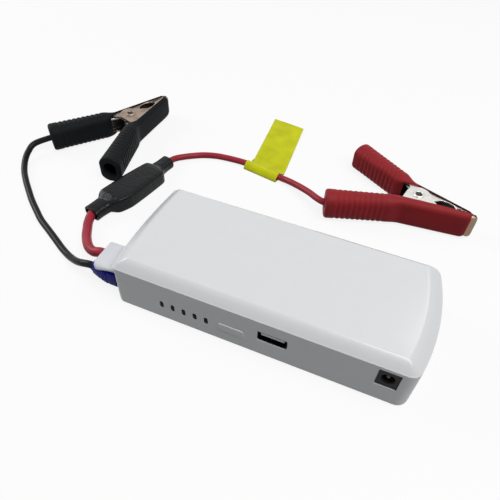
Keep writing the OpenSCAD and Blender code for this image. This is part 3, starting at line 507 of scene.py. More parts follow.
def build(name, *parts, weld=None):
    """One object from several (points, faces) pairs, with its normals facing out.

    weld is the distance within which points are joined.
    """
    points, faces = [], []
    for more_points, more_faces in parts:
        faces += [tuple(len(points) + k for k in f) for f in more_faces]
        points += [tuple(p) for p in more_points]
    mesh = bpy.data.meshes.new(name)
    mesh.from_pydata(points, [], faces)
    shape = bmesh.new()
    shape.from_mesh(mesh)
    if weld:
        bmesh.ops.remove_doubles(shape, verts=shape.verts, dist=weld)
    bmesh.ops.recalc_face_normals(shape, faces=shape.faces)
    shape.to_mesh(mesh)
    shape.free()
    return add(name, mesh)


def cut(obj, *cutters):
    """Takes the cutters out of obj, one after the other."""
    for cutter in cutters:
        mod = obj.modifiers.new("cut", "BOOLEAN")
        mod.operation = "DIFFERENCE"
        mod.solver = "EXACT"
        mod.object = cutter
    bpy.context.view_layer.update()
    evaluated = obj.evaluated_get(bpy.context.evaluated_depsgraph_get())
    mesh = bpy.data.meshes.new_from_object(evaluated)
    obj.modifiers.clear()
    obj.data = mesh
    for cutter in cutters:
        bpy.data.objects.remove(cutter)


def dress(obj, body, material, stands_for=None, slot=None, sharp=32, place=None):
    """Shades obj, gives it its material and slot, and makes it ride on its body, if any.

    stands_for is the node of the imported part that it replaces.
    """
    obj.data.shade_smooth()
    obj.data.set_sharp_from_angle(angle=radians(sharp))
    obj.data.materials.clear()
    obj.data.materials.append(MATERIALS[material])
    if place:
        obj.matrix_world = place
    if body:
        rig.ride(obj, body)
    if stands_for:
        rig.replaces(obj, stands_for)
    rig.slot(obj, slot or material)
    return obj


def paint(obj, *materials, which):
    """Adds materials to a dressed object; which(face) is a face's material, 0 for the first."""
    for name in materials:
        obj.data.materials.append(MATERIALS[name])
    for face in obj.data.polygons:
        face.material_index = which(face)


# ------ leads

RED_D, SHORT_D, BLACK_D = 4 * MM, 5.2 * MM, 3.8 * MM
RED_CLAMP = ((0.0849, 0.0889), -8.0)  # the tip's place, and the angle of the clamp's axis
BLACK_CLAMP = ((-0.1348, 0.1296), 76.3)

# From the plug to the black clamp.
BLACK_ROUTE = mm(
    (-87.92, -23.75, 10), (-90.92, -23.75, 10), (-95, -23.7, 9), (-99.4, -22.8, 7.1),
    (-104.2, -21, 5), (-109.8, -18.5, 3.2), (-116.4, -15.2, 2.1), (-123.6, -11.3, 2),
    (-132, -6.8, 2), (-141, -2, 2), (-149, 3.5, 2), (-157, 9.3, 2), (-165, 15.9, 2),
    (-173, 22.8, 2), (-180.5, 30.2, 2), (-186.2, 38.1, 2.9), (-189, 45.1, 4.4),
    (-188.4, 51.2, 6.6))
# From the plug to the module.
SHORT_ROUTE = mm(
    (-87.92, -14.75, 10), (-90.92, -14.75, 10), (-95.1, -14.7, 8.7), (-99.9, -12.4, 7.2),
    (-104.6, -8.3, 5.6), (-108.8, -3.5, 4.3), (-112.3, 1.7, 3.5), (-115.4, 7, 3.2))
# From the module to the red clamp.
LONG_ROUTE = mm(
    (-100.6, 80.4, 3), (-97, 84.8, 2.5), (-92.6, 88.8, 2.1), (-86, 92.8, 2.1), (-78, 95.5, 2.1),
    (-69, 96.6, 2.1), (-60, 96.4, 2.45), (-54.6, 95.7, 2.55), (-42.4, 93.4, 2.55),
    (-30.2, 91.1, 2.55), (-24.4, 88.8, 3.6), (-16.3, 84.6, 5.2), (-9, 79.9, 6.8),
    (-4.4, 76.3, 7.8), (0.2, 73.6, 8.5))
MODULE_AT = Vector((-0.1174, 0.0126, 0))
MODULE_ANGLE = radians(76.6)
MODULE_L = 64 * MM
MOUTH_Z, MOUTH_DEPTH = 3.6 * MM, 9 * MM  # the leads' height at the module's ends, and their reach
INSIDE_Z = 4.2 * MM  # their height inside it


def module_point(s, t, z):
    """s along the module from its plug end, t to its right, z up."""
    return MODULE_AT + Vector((s * cos(MODULE_ANGLE) + t * sin(MODULE_ANGLE),
                               s * sin(MODULE_ANGLE) - t * cos(MODULE_ANGLE), z))


# ------ clamp geometry
# A clamp lies flat: u runs to the tips at u = 0, v is sideways. An arm is drawn on the +v side,
# and the outer arm is mirrored.

GRIP_H = 17.6 * MM
MID_Z = GRIP_H / 2
PIVOT_U = -34 * MM
BEND_U = -43 * MM
TIP_BACK, BEND_BACK = 2.4 * MM, 12.1 * MM
SLOPE = radians(26.2)
GRIP_BACK, GRIP_REAR_MID = 79.5 * MM, 28.1 * MM
REAR_W, FRONT_W, GRIP_WALL = 13.6 * MM, 10 * MM, 1.7 * MM
OUTER_W, INNER_W, SHEET = 15 * MM, 12.3 * MM, 1.1 * MM
EAR_R, INNER_EAR_R = 7 * MM, 6.4 * MM
COVER = 1.1 * MM  # the rubber over the jaw's back
TOUCH = 0.02 * MM
BEND_MID = GRIP_REAR_MID - (GRIP_BACK + BEND_U) * tan(SLOPE)
HANDLE_L = (GRIP_BACK + BEND_U) / cos(SLOPE)
BACK_RISE = (BEND_BACK - TIP_BACK) / BEND_U


def handle_point(d, v):
    """(u, v) of a place d along the handle from the bend, and v off its middle line."""
    return (BEND_U - d * cos(SLOPE) + v * sin(SLOPE),
            BEND_MID + d * sin(SLOPE) + v * cos(SLOPE))


def handle_half(d):
    return (FRONT_W + (REAR_W - FRONT_W) * d / HANDLE_L) / 2


def back_at(u):
    return TIP_BACK + BACK_RISE * u


def clamp_matrix(clamp, side=1):
    """Turns a clamp's own u, v, z into the frame; side -1 mirrors v."""
    (x, y), angle = clamp
    return (Matrix.Translation((x, y, 0)) @ Matrix.Rotation(radians(angle), 4, "Z")
            @ Matrix.Diagonal((1, side, 1, 1)))


def in_clamp(clamp, side, d, v, z=MID_Z):
    return clamp_matrix(clamp, side) @ Vector((*handle_point(d, v), z))


CRIMP_D = 12 * MM  # from the handle's end to the crimp
BLACK_ROUTE += [in_clamp(BLACK_CLAMP, 1, HANDLE_L + 0.5 * MM, 0.4 * MM, MID_Z - 0.4 * MM),
                in_clamp(BLACK_CLAMP, 1, HANDLE_L - 5 * MM, 0),
                in_clamp(BLACK_CLAMP, 1, HANDLE_L - CRIMP_D + TOUCH, 0)]
SHORT_ROUTE += [module_point(1 * MM, 0, MOUTH_Z), module_point(MOUTH_DEPTH, 0, INSIDE_Z)]
LONG_ROUTE = [module_point(MODULE_L - MOUTH_DEPTH, 0, INSIDE_Z), module_point(MODULE_L, 0, MOUTH_Z),
              *LONG_ROUTE, in_clamp(RED_CLAMP, -1, HANDLE_L - 3 * MM, 0),
              in_clamp(RED_CLAMP, -1, HANDLE_L - CRIMP_D + TOUCH, 0)]


def lead(name, route, diameter):
    """A lead's sheath along its route; returns it with its path and length."""
    path = smooth_path(route)
    obj = build(name + "_sheath", tube(path, diameter / 2))
    colour = name.split("_")[0]
    dress(obj, "leads", colour + "_sheath", name, colour + "_rubber")
    return obj, path, sum((b - a).length for a, b in zip(path, path[1:]))


black_cord, black_path, black_length = lead("black_lead", BLACK_ROUTE, BLACK_D)
short_cord, short_path, short_length = lead("red_lead_short", SHORT_ROUTE, SHORT_D)
long_cord, long_path, long_length = lead("red_lead_long", LONG_ROUTE, RED_D)

# ------ case

case_low, case_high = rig.box("bottom_case")
CASE_L, CASE_W = case_high.x - case_low.x, case_high.y - case_low.y
FRONT_Y, LEFT_X = case_low.y, case_low.x
WALL_H = case_high.z
CASE_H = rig.box("top_cover")[1].z
WALL = 2 * MM
BASE_ROUND = 2.2 * MM
SIDE_BAND, END_BAND = 5.2 * MM, 7 * MM  # width of the cover's sloping bands
LEFT_END, RIGHT_END = mm((1.8, 3.4), (4.2, 5.5))  # bulge, corner radius
SEAM = 0.16 * MM  # rounding of the two shells' meeting edges
CORNER_STEPS, END_STEPS, SIDE_STEPS = 10, 24, 21
WELD = 1e-7


def end_arc(bulge, corner, side, end):
    """One curved end of the case's outline, drawn in by side and end, from front to back."""
    r = max(corner - (side + end) / 2, 0.5 * MM)
    big = (CASE_W * CASE_W / 4 + bulge * bulge) / (2 * bulge)
    mid = CASE_L / 2 - big
    arc_r = big - end
    half = CASE_W / 2 - side - r
    a = asin(half / (arc_r - r))
    cx = mid + (arc_r - r) * cos(a)
    arcs = ((cx, -half, r, steps(-pi / 2, -a, CORNER_STEPS)[:-1]),
            (mid, 0, arc_r, steps(-a, a, END_STEPS)),
            (cx, half, r, steps(a, pi / 2, CORNER_STEPS)[1:]))
    return [(x + r * cos(t), y + r * sin(t)) for x, y, r, turns in arcs for t in turns]


def between(p, q):
    """The points of a straight side, without its ends p and q."""
    return [*zip(*(steps(a, b, SIDE_STEPS) for a, b in zip(p, q)))][1:-1]


def case_ring(z, side=0.0, end=None):
    """The case's outline at z, drawn in by side along its sides and by end at its ends."""
    end = side if end is None else end
    right = end_arc(*RIGHT_END, side, end)
    left = [(-x, y) for x, y in reversed(end_arc(*LEFT_END, side, end))]
    outline = [*right, *between(right[-1], left[0]), *left, *between(left[-1], right[0])]
    return [(x, y, z) for x, y in outline]


# The crowned cover: [share of the sloping band, share of the rise].
CROWN = [(0, 0), (0.32, 0.4), (0.66, 0.76), (0.88, 0.925), (0.99, 0.982), (1.12, 1)]


def crown_ring(share, inset=0.0):
    rise = through(CROWN, share)
    return case_ring(WALL_H + rise * (CASE_H - WALL_H - inset), inset + share * SIDE_BAND,
                     inset + share * END_BAND)


# The meeting edge of a shell: [height off the seam, inset], each in seam roundings.
EDGE = [(0, 2), (0.3, 1), (1, 0.3)]


def make_cover():
    outer = [case_ring(WALL_H + up * SEAM, inset * SEAM) for up, inset in EDGE]
    outer += [crown_ring(s) for s in [0.07, 0.12, *steps(0.18, 0.84, 11), *steps(0.88, 1.12, 9)]]
    inner = [crown_ring(s, WALL) for s in (1.12, 0.8, 0.4, 0.1)]
    inner += [case_ring(WALL_H, WALL)]
    obj = build("cover_shell", loft(outer, (False, True)), loft(inner, (True, False)),
                loft([inner[-1], outer[0]], (False, False)), weld=WELD)
    dress(obj, "case", "white_plastic", "top_cover", sharp=40)


def front_cutter(name, at, size, corner, flare):
    """A hole through the front wall; its corners and its mouth's small chamfer are in mm."""
    rows = [(depth, -more, corner + more)
            for depth, more in ((-1, flare + 1), (0, flare), (flare, 0), (4, 0))]
    return build(name, loft(panel(at, FRONT_Y, size, rows)))


def end_cutter(name, at, w, h):
    """A hole through the left wall."""
    return build(name, loft([endways(at, LEFT_X + x * MM, w, h, 0.4) for x in (-1, 4.3)]))


def centre_of(name):
    low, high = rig.box(name)
    return (low + high) / 2


USB = centre_of("usb_shell")
JACK = centre_of("charge_jack")
BUTTON = centre_of("power_button")
PLUG = centre_of("output_pins")
ANCHOR = Vector((0, PLUG.y, centre_of("cover_anchor").z))
USB_SIZE, JACK_SIZE, BUTTON_SIZE = mm((13.2, 5.8), (9, 11), (12.6, 4.8))
light_low, light_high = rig.box("light_windows")
LIGHT_SIZE = (2 * MM, light_high.z - light_low.z + 0.8 * MM)
LIGHTS = [Vector((x, 0, (light_high.z + light_low.z) / 2))
          for x in steps(light_low.x + 1 * MM, light_high.x - 1 * MM, 4)]
SCREWS = [(LEFT_X + 13.5 * MM, -3.8 * MM, 0), (LEFT_X + 11 * MM, CASE_W / 2 - 8 * MM, 0),
          (CASE_L / 2 - 12 * MM, -8.8 * MM, 0), (CASE_L / 2 - 12 * MM, CASE_W / 2 - 8 * MM, 0)]
COUNTERBORE = mm((2.9, -1), (2.7, 0), (2.5, 0.3), (2.5, 2.4))


def make_tray():
    outer = [case_ring(BASE_ROUND * (1 - cos(a)) * 0.9, 0.6 * BASE_ROUND * (1 - sin(a)))
             for a in steps(0, pi / 2, 6)]
    outer += [case_ring(z) for z in steps(3 * MM, WALL_H - 1 * MM, 6)]
    outer += [case_ring(WALL_H - down * SEAM, inset * SEAM) for down, inset in reversed(EDGE)]
    inner = [case_ring(WALL_H, WALL), case_ring(WALL + 1.5 * MM, WALL),
             case_ring(WALL, WALL + 1.3 * MM)]
    obj = build("tray_shell", loft([*outer, *inner]))
    windows = [front_cutter(f"window_{i}", at, LIGHT_SIZE, 1, 0.03)
               for i, at in enumerate(LIGHTS)]
    counterbores = [build(f"counterbore_{i}", lathe(COUNTERBORE, at, 2, 40))
                    for i, at in enumerate(SCREWS)]
    holes = [front_cutter(name, at, [s + play * MM for s in size], corner, flare)
             for name, at, size, play, corner, flare in (
                 ("button_hole", BUTTON, BUTTON_SIZE, 0.16, 1.1, 0.05),
                 ("usb_hole", USB, USB_SIZE, 0.7, 0.9, 0.06),
                 ("jack_hole", JACK, JACK_SIZE, 0.2, 0.3, 0.05))]
    cut(obj, *windows, *counterbores, *holes,
        end_cutter("socket_hole", PLUG, 18, 11), end_cutter("anchor_slot", ANCHOR, 9.1, 1.7))
    dress(obj, "case", "satin_plastic", "bottom_case", sharp=30)


make_cover()
make_tray()

# ------ front panel


def make_button():
    """An oblong key with rolled edges and a flange behind the wall."""
    rings = panel(BUTTON, FRONT_Y, BUTTON_SIZE, (
        (-0.5, 0.8, 0.4), (-0.49, 0.4, 0.8), (-0.45, 0.22, 0.98), (-0.36, 0.1, 1.1),
        (-0.24, 0.03, 1.17), (-0.1, 0, 1.2), (1, 0, 1.2), (2.1, 0, 1.2), (2.1, -1, 1.2),
        (3.1, -1, 1.2)))
    dress(build("button_key", loft(rings)), "button", "satin_plastic", "power_button")


def make_lights():
    rows = ((0.05, 0.3, 1), (0.07, 0.14, 1), (0.12, 0.03, 1), (0.2, 0, 1), (3.5, 0, 1))
    lenses = [loft(panel(at, FRONT_Y, LIGHT_SIZE, rows)) for at in LIGHTS]
    dress(build("light_lenses", *lenses), "case", "smoked_lens", "light_windows")


def make_usb():
    """The port's folded shell with sprung tongues, and its contact block and pads."""
    sheet = 0.35
    mouth, rear = (corner.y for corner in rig.box("usb_shell"))
    deep = (rear - mouth) / MM
    shell = panel(USB, mouth, USB_SIZE, (
        (deep, 0, 0.7), (0.6, 0, 0.7), (0.1, 0, 0.7), (0, 0.1, 0.6), (0, 0.25, 0.5),
        (0.25, sheet, 0.4), (deep - 0.5, sheet, 0.4)))
    springs = [loft([facing(USB + Vector((x, 0, side * (2.9 - sheet - drop))) * MM,
                            mouth + y * MM, 2.6 * MM, 0.25 * MM, 0.1 * MM, 2)
                     for y, drop in ((1.2, 0.1), (3.5, 0.35), (5.2, 0.5), (6.2, 0.2))])
               for x in (-3.2, 3.2) for side in (-1, 1)]
    obj = dress(build("usb_sleeve", loft(shell), *springs), "case", "plated_steel",
                "usb_shell")
    # painted shade: past its mouth's rim the shell is coloured near-black, the shade inside a deep socket
    paint(obj, "smoked_lens", which=lambda face: int(face.index >= 2 * len(shell[0])))

    low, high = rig.box("usb_tongue")
    back = (high.y - mouth) / MM - 3
    tongue = panel(USB + Vector((0, 0, 0.95 * MM)), mouth, (11 * MM, 1.7 * MM),
                   ((0.55, 0.2, 0.25), (0.75, 0, 0.25), (back, 0, 0.25)))
    base = panel(USB, mouth, USB_SIZE, [(y, sheet + 0.05, 0.3) for y in (back, back + 3)])
    dress(build("usb_insert", loft(tongue), loft(base)), "case", "white_plastic",
          "usb_tongue")
    pads = [loft([facing(USB + Vector((x, 0, 0.07)) * MM, y, 1.1 * MM, 0.1 * MM, 0.03 * MM, 2)
                  for y in (low.y + 1.1 * MM, high.y - 3 * MM)]) for x in (-3.5, -1.1, 1.1, 3.5)]
    dress(build("usb_pads", *pads), "case", "brass")


def make_jack():
    """The jack's block with a chamfered bore, and its dome-ended pin."""
    low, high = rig.box("charge_jack")
    block = build("jack_block", loft(panel(JACK, low.y, JACK_SIZE, (
        (0, 0.15, 0.35), (0.15, 0, 0.35), ((high.y - low.y) / MM, 0, 0.35)))))
    mouth = (JACK.x, low.y, JACK.z)
    cut(block, build("jack_bore", lathe(mm((4.2, -1), (3.2, 0), (2.75, 0.45), (2.75, 10)),
                                        mouth, 1)))
    dress(block, "case", "black_plastic", "charge_jack")
    pin = lathe(mm((0.2, 0.95), (0.6, 1.05), (0.9, 1.3), (1.05, 1.75), (1.05, 9.98)), mouth, 1, 32)
    # painted shade: the plated pin takes the dark metal, as it lies in the bore's shade
    dress(build("jack_centre_pin", pin), "case", "dark_metal", "jack_pin", "plated_steel")


make_button()
make_lights()
make_usb()
make_jack()

# ------ plug and rubber cover

PLUG_FRONT, PLUG_REAR = LEFT_X - 0.4 * MM, LEFT_X - 15.4 * MM
CONTACTS = [PLUG.y - 4.5 * MM, PLUG.y + 4.5 * MM]
# The plug's body from the case to the leads: [share of its length, width, height, corner], in mm.
PLUG_KEYS = [(0, 17.2, 10.2, 1.5), (0.4, 17.2, 10.2, 1.5), (0.72, 15.8, 9, 1.8), (1, 14, 7.2, 2)]
GROOVE_DEPTH, GROOVE_PITCH = 0.35, 0.105  # depth on both sides in mm, pitch as a share


def make_plug():
    """The plug's nose with its two bores, and its grooved body with a collar round each lead."""
    rings = [endways(PLUG, PLUG_FRONT, 16.6, 9.6, 1.3)]
    for share in steps(0.02, 0.97, 24):
        w, h, r = through(PLUG_KEYS, share)
        grooved = 0.3 < share < 0.72 and sin(share * 2 * pi / GROOVE_PITCH) > 0.2
        less = GROOVE_DEPTH if grooved else 0
        rings.append(endways(PLUG, PLUG_FRONT + (PLUG_REAR - PLUG_FRONT) * share,
                             w - less, h - less, r))
    rings.append(endways(PLUG, PLUG_REAR, 13.2, 6.6, 1.7))
    nose = build("plug_nose", loft([endways(PLUG, x * MM, 15.6 - less, 8.6 - less, 0.5)
                                    for x, less in ((-58.9, 0.5), (-59.1, 0.1), (-59.3, 0),
                                                    (-73.4, 0))]))
    cut(nose, *[build(f"bore_{i}", lathe(mm((2.58, -76.6), (2.58, -50)), (0, y, PLUG.z), 0, 40))
                for i, y in enumerate(CONTACTS)])
    dress(nose, "leads", "blue_plastic", sharp=28)
    collars = [lathe([(d / 2 + more * MM, x * MM) for more, x in (
        (0.6, 0.5), (0.55, -0.3), (0.3, -0.6), (0.02, -0.7))], (PLUG_REAR, y, PLUG.z), 0, 32)
               for y, d in zip(CONTACTS, (BLACK_D, SHORT_D))]
    dress(build("plug_shell", loft(rings), *collars), "leads", "blue_plastic",
          "plug_body", sharp=28)


def make_flap():
    """The rubber cover: flat from its root, curling down over the plug's front edge."""
    root, length, width, thick = LEFT_X - 0.5 * MM, 12.8 * MM, 16.4 * MM, 1.9 * MM
    corners = (3.2 * MM, 1.2 * MM)  # front and back corners of the free end
    rim_r, edge_r, thinnest = 0.6 * MM, 0.8 * MM, 0.15 * MM
    rings = []
    for s in [*steps(0, 0.7, 10), *steps(0.73, 1, 12)]:
        run = s * length
        edges = []
        for side, r in zip((-1, 1), corners):
            past = max(0, run - (length - r)) / r
            edges.append(side * (width / 2 - r * (1 - sqrt(max(0, 1 - past * past)))))
        across = edges[1] - edges[0]
        rim = 0.75 * MM * max(0, (run - (length - 1 * MM)) / MM) ** 2
        top, under = [], []
        for t in steps(0, 1, 20):
            y = edges[0] + across * t
            front = max(0, (-y / (width / 2)) - 0.55) / 0.45
            droop = 1.5 * MM * min(1, 1.5 * s) ** 2 * front ** 2 + 0.35 * MM * s ** 2
            bulge = 0.7 * MM * front ** 2 * s
            edge = min(t, 1 - t) * across
            thin = max(thick / 2 - rim - rim_r * max(0, 1 - edge / edge_r) ** 2, thinnest)
            x, y, z = root - run, PLUG.y + y - bulge, ANCHOR.z - droop
            top.append((x, y, z + thin))
            under.append((x, y, z - thin))
        rings.append([*top, *reversed(under)])
    dress(build("port_cover", loft(rings)), "socket_cover", "white_rubber",
          "socket_cover", sharp=60)


make_plug()
make_flap()

# ------ module and label

# s along, t aside, half width, height; the underside lies on the floor.
MODULE_KEYS = mm(
    (0, 0, 5.6, 7.2), (4, 0, 5.4, 7.4), (9.5, 0.3, 5.6, 7.8), (12.6, 1.3, 7.7, 9.2),
    (14.5, 1.7, 8.3, 9.8), (22, 2.6, 9, 10), (47, 2.6, 7.9, 9.6), (49.5, 2.4, 7.5, 9.2),
    (52.6, 1.0, 5.1, 7.8), (58, 0.4, 4.4, 7.4), (64, 0, 4.5, 7.2))


def module_ring(s, inset=0.0, power=None):
    """Section of the sleeve at s: rounder at its thin ends, squarer in its middle."""
    t, w, h = through(MODULE_KEYS, s)
    power = power or 3 + 5 * min(max((h - 7.8 * MM) / (1.6 * MM), 0), 1)
    ring = []
    for a in turn(72):
        c, d = cos(a), sin(a)
        across = copysign(abs(c) ** (2 / power), c) * (w - inset)
        up = copysign(abs(d) ** (2 / power), d) * (h / 2 - inset)
        ring.append(module_point(s, t + across, h / 2 + up))
    return ring


def make_module():
    ends = ((0.0, 0.5), (0.15, 0.12))  # distance from an end, inset
    outer = [module_ring(s * MM, inset * MM) for s, inset in ends]
    outer += [module_ring(s) for s in steps(0.6 * MM, MODULE_L - 0.6 * MM, 110)]
    outer += [module_ring(MODULE_L - s * MM, inset * MM) for s, inset in reversed(ends)]
    inner = [module_ring(MODULE_L, 0.9 * MM, 2.4), module_ring(MODULE_L - 6 * MM, 1.4 * MM, 2.2)]
    start = [module_ring(6 * MM, 1.6 * MM, 2.2), module_ring(0, 0.9 * MM, 2.4)]
    return dress(build("module_sleeve", loft([*start, *outer, *inner])), "leads", "black_sleeve",
                 "lead_module", sharp=50)


FLAG_AT = Vector((-0.0424, 0.0934, 0))
FLAG_ANGLE = radians(-10.8)
FLAG_SKEW = tan(radians(16))
FLAG_W, FLAG_L = 24 * MM, 60 * MM
FLAG_LEAD_Z = 2.55 * MM
FLAG_SLIP = 2.4 * MM  # how far the fold sits to the left of the flag
FILM = 0.12 * MM
UPPER_Z, UNDER_Z = 0.42 * MM, 0.14 * MM  # where the flag's two layers lie


def make_flag():
    """A film that runs in from its free end, round the lead, and back along itself."""
    r = RED_D / 2 + 0.16 * MM
    line = [(w, UPPER_Z) for w in steps(FLAG_L, 9 * MM, 26)]
    line += mm((7.6, 0.5), (6.2, 0.8), (5, 1.35), (4, 2.1), (3.1, 3.0))
    line += [(r * sin(a), FLAG_LEAD_Z + r * cos(a)) for a in steps(0.75, -0.55, 6)]
    line += mm((-2, 3.75), (-2.7, 2.9), (-3.3, 2), (-3.7, 1.2), (-3.8, 0.75), (-3.6, 0.4),
               (-3.1, 0.2), (-2, 0.14), (0, 0.14), (3, 0.14))
    line += [(w, UNDER_Z) for w in steps(5 * MM, FLAG_L, 26)]
    rings = []
    for x in steps(-FLAG_W / 2, FLAG_W / 2, 12):
        front, rear = [], []
        for i, (w, z) in enumerate(line):
            before, after = line[max(i - 1, 0)], line[min(i + 1, len(line) - 1)]
            run, rise = after[0] - before[0], after[1] - before[1]
            size = hypot(run, rise)
            out = (-rise / size, run / size)
            far = max(w, 0) / FLAG_L
            lift = 0.9 * MM * far ** 3 * (0.5 + 0.5 * sin(x / FLAG_W * 2.2 + 0.6))
            ripple = 0.1 * MM * far * (1 + sin(w / (7 * MM) + x / (9 * MM)))
            slip = FLAG_SLIP * (1 - min(max(w - 2.5 * MM, 0) / (4 * MM), 1))
            for half, face in ((FILM / 2, front), (-FILM / 2, rear)):
                p = Vector((x - max(w, 0) * FLAG_SKEW - slip, w + out[0] * half,
                            z + out[1] * half + lift + ripple))
                face.append(Matrix.Rotation(FLAG_ANGLE, 4, "Z") @ p + FLAG_AT)
        rings.append([*front, *reversed(rear)])
    return dress(build("label_film", loft(rings)), "leads", "yellow_film",
                 "flag_label", sharp=60)


module = make_module()
label = make_flag()

# ------ clamps

# painted shade: the strip along the teeth is painted dark, as the teeth lie in shade
TOOTH_BAND = 1.7 * MM  # height of the dark strip along the teeth
TEETH = [(u, v) for i in range(5) for u, v in ((-11.4 + 2.2 * i, 0.2), (-10.4 + 2.2 * i, 1.3))]
# The inside edge of a jaw's cheek: (u, v) from the bend to the tip.
INSIDE = mm((-42, 8.4), (-40, 4.5), (-39, 2), (-34, -2), (-26, 0.3), (-24, 1.6), (-21.5, 3.9),
            (-17.5, 4.3), (-14, 3.2), (-12.2, 0.9), *TEETH, (0, 0.2))
TEETH_START, TIP_START = -12.2 * MM, -3.6 * MM
# Faces of the channel's section that take painted shade: those that look inwards, and those along the inside edges.
INNER_FACES = range(18, 30)
EDGE_FACES = (0, 14, 15, 16, 17, 29, 30, 31)
TIP_R = 2.4 * MM
TIP_SHEET = TIP_BACK - 0.2 * MM  # height of the plate that closes the tip


def rim_inset(x, r):
    """How far a rounded rim of radius r is drawn in at x from its end."""
    return r - sqrt(max(r * r - max(r - x, 0) ** 2, 0))


def inside_at(u, ear):
    """Height of a cheek's inside edge at u, the ear round the pivot taken in."""
    places = [p[0] for p in INSIDE]
    i = min(max(bisect.bisect_right(places, u) - 1, 0), len(INSIDE) - 2)
    t = (u - places[i]) / (places[i + 1] - places[i])
    v = INSIDE[i][1] + (INSIDE[i + 1][1] - INSIDE[i][1]) * t
    if abs(u - PIVOT_U) < ear:
        v = min(v, -sqrt(ear * ear - (u - PIVOT_U) ** 2))
    return v


def channel_ring(back, inside, width, bend=1.9 * MM):
    """Section of a folded channel between its back and its inside edge, both (u, v) points."""
    n = Vector(back) - Vector(inside)
    deep = n.length
    n.normalize()
    r = min(bend, 0.75 * deep)
    inner_r = max(r - SHEET, 0.1 * MM)
    e = 0.18 * MM  # rounding of the sheet's edges
    half = width / 2

    def fold(far, top, radius, count):
        return [(far - radius + radius * sin(a), top - radius + radius * cos(a))
                for a in steps(0, pi / 2, count)]

    outline = [(e, half), (min(TOOTH_BAND, 0.3 * deep), half), *fold(deep, half, r, 5)]
    outline += [(a, -z) for a, z in reversed(outline)]
    inner = [(e, half - SHEET), *fold(deep - SHEET, half - SHEET, inner_r, 4)]
    inner += [(a, -z) for a, z in reversed(inner)]
    loop = [*outline, (0, -half + e), (0, -half + SHEET - e), *reversed(inner),
            (0, half - SHEET + e), (0, half - e)]
    return [(inside[0] + n.x * a, inside[1] + n.y * a, MID_Z + z) for a, z in loop]


def make_jaw(name, clamp, side, body, material, tip_material):
    """An arm's folded channel from tip to handle, with teeth, and a plate that closes the tip."""
    width, ear = (OUTER_W, EAR_R) if side < 0 else (INNER_W, INNER_EAR_R)
    places = {round(u, 6) for u in steps(-42 * MM, 0, 84)}
    places |= {round(p[0], 6) for p in INSIDE} | {-0.00002, -0.0001, -0.00025, -0.0007}
    places |= {round(PIVOT_U + ear * cos(radians(a)), 6) for a in range(0, 181, 12)}
    places = sorted(places, reverse=True)
    rings = [channel_ring((u, back_at(u)), (u, inside_at(u, ear)),
                          width - 2 * rim_inset(-u, TIP_R)) for u in places]
    for d in steps(3.5 * MM, HANDLE_L - 5 * MM, 8):
        reach = handle_half(d) - GRIP_WALL
        low = 2.4 * MM * d / HANDLE_L - reach
        rings.append(channel_ring(handle_point(d, reach), handle_point(d, low), width, 2.8 * MM))
    tip = [[(u, TIP_SHEET / 2 + 0.2 * MM + a, MID_Z + b) for a, b in
            rounded(TIP_SHEET - less, width - 0.6 * MM - less - 2 * rim_inset(-u, TIP_R), 0.5 * MM)]
           for u, less in ((-SHEET, 0), *mm((-0.6, 0), (-0.25, 0), (-0.08, 0.1), (0, 0.4)))]
    channel, plate = loft(rings), loft(tip)
    obj = dress(build(name + "_arm_metal", channel, plate), body, material, name + "_jaw",
                sharp=30, place=clamp_matrix(clamp, side))

    # painted shade: dark metal on the inward faces, on the part inside the handle's sleeve and on the strip along the
    # teeth; the tip's faces take the tip's metal
    def which(face):
        row, k = divmod(face.index, len(rings[0]))
        if face.index >= len(channel[1]):
            return 1
        if k in INNER_FACES or row >= len(places) - 1:
            return 2
        if k in EDGE_FACES and places[row] > TEETH_START:
            return 2
        return int(places[row + 1] > TIP_START)

    paint(obj, tip_material, "dark_metal", which=which)


RIB_PITCH, RIB_DEPTH, COLLAR = 3 * MM, 0.36 * MM, 5.2 * MM
FRONT_R, FRONT_INSET = 2.6 * MM, 1.05 * MM
BLEND = 5.5 * MM  # how far the smooth bend reaches on both sides


def rib_groove(d):
    """Depth of the grooves between the ribs, d from the handle's front end."""
    from_collar = HANDLE_L - COLLAR - d
    if from_collar < 0:
        return 0
    fade = min(max((d - 1 * MM) / (9 * MM), 0), 1)
    return RIB_DEPTH * fade * (0.5 - 0.5 * cos(2 * pi * from_collar / RIB_PITCH)) ** 2.2


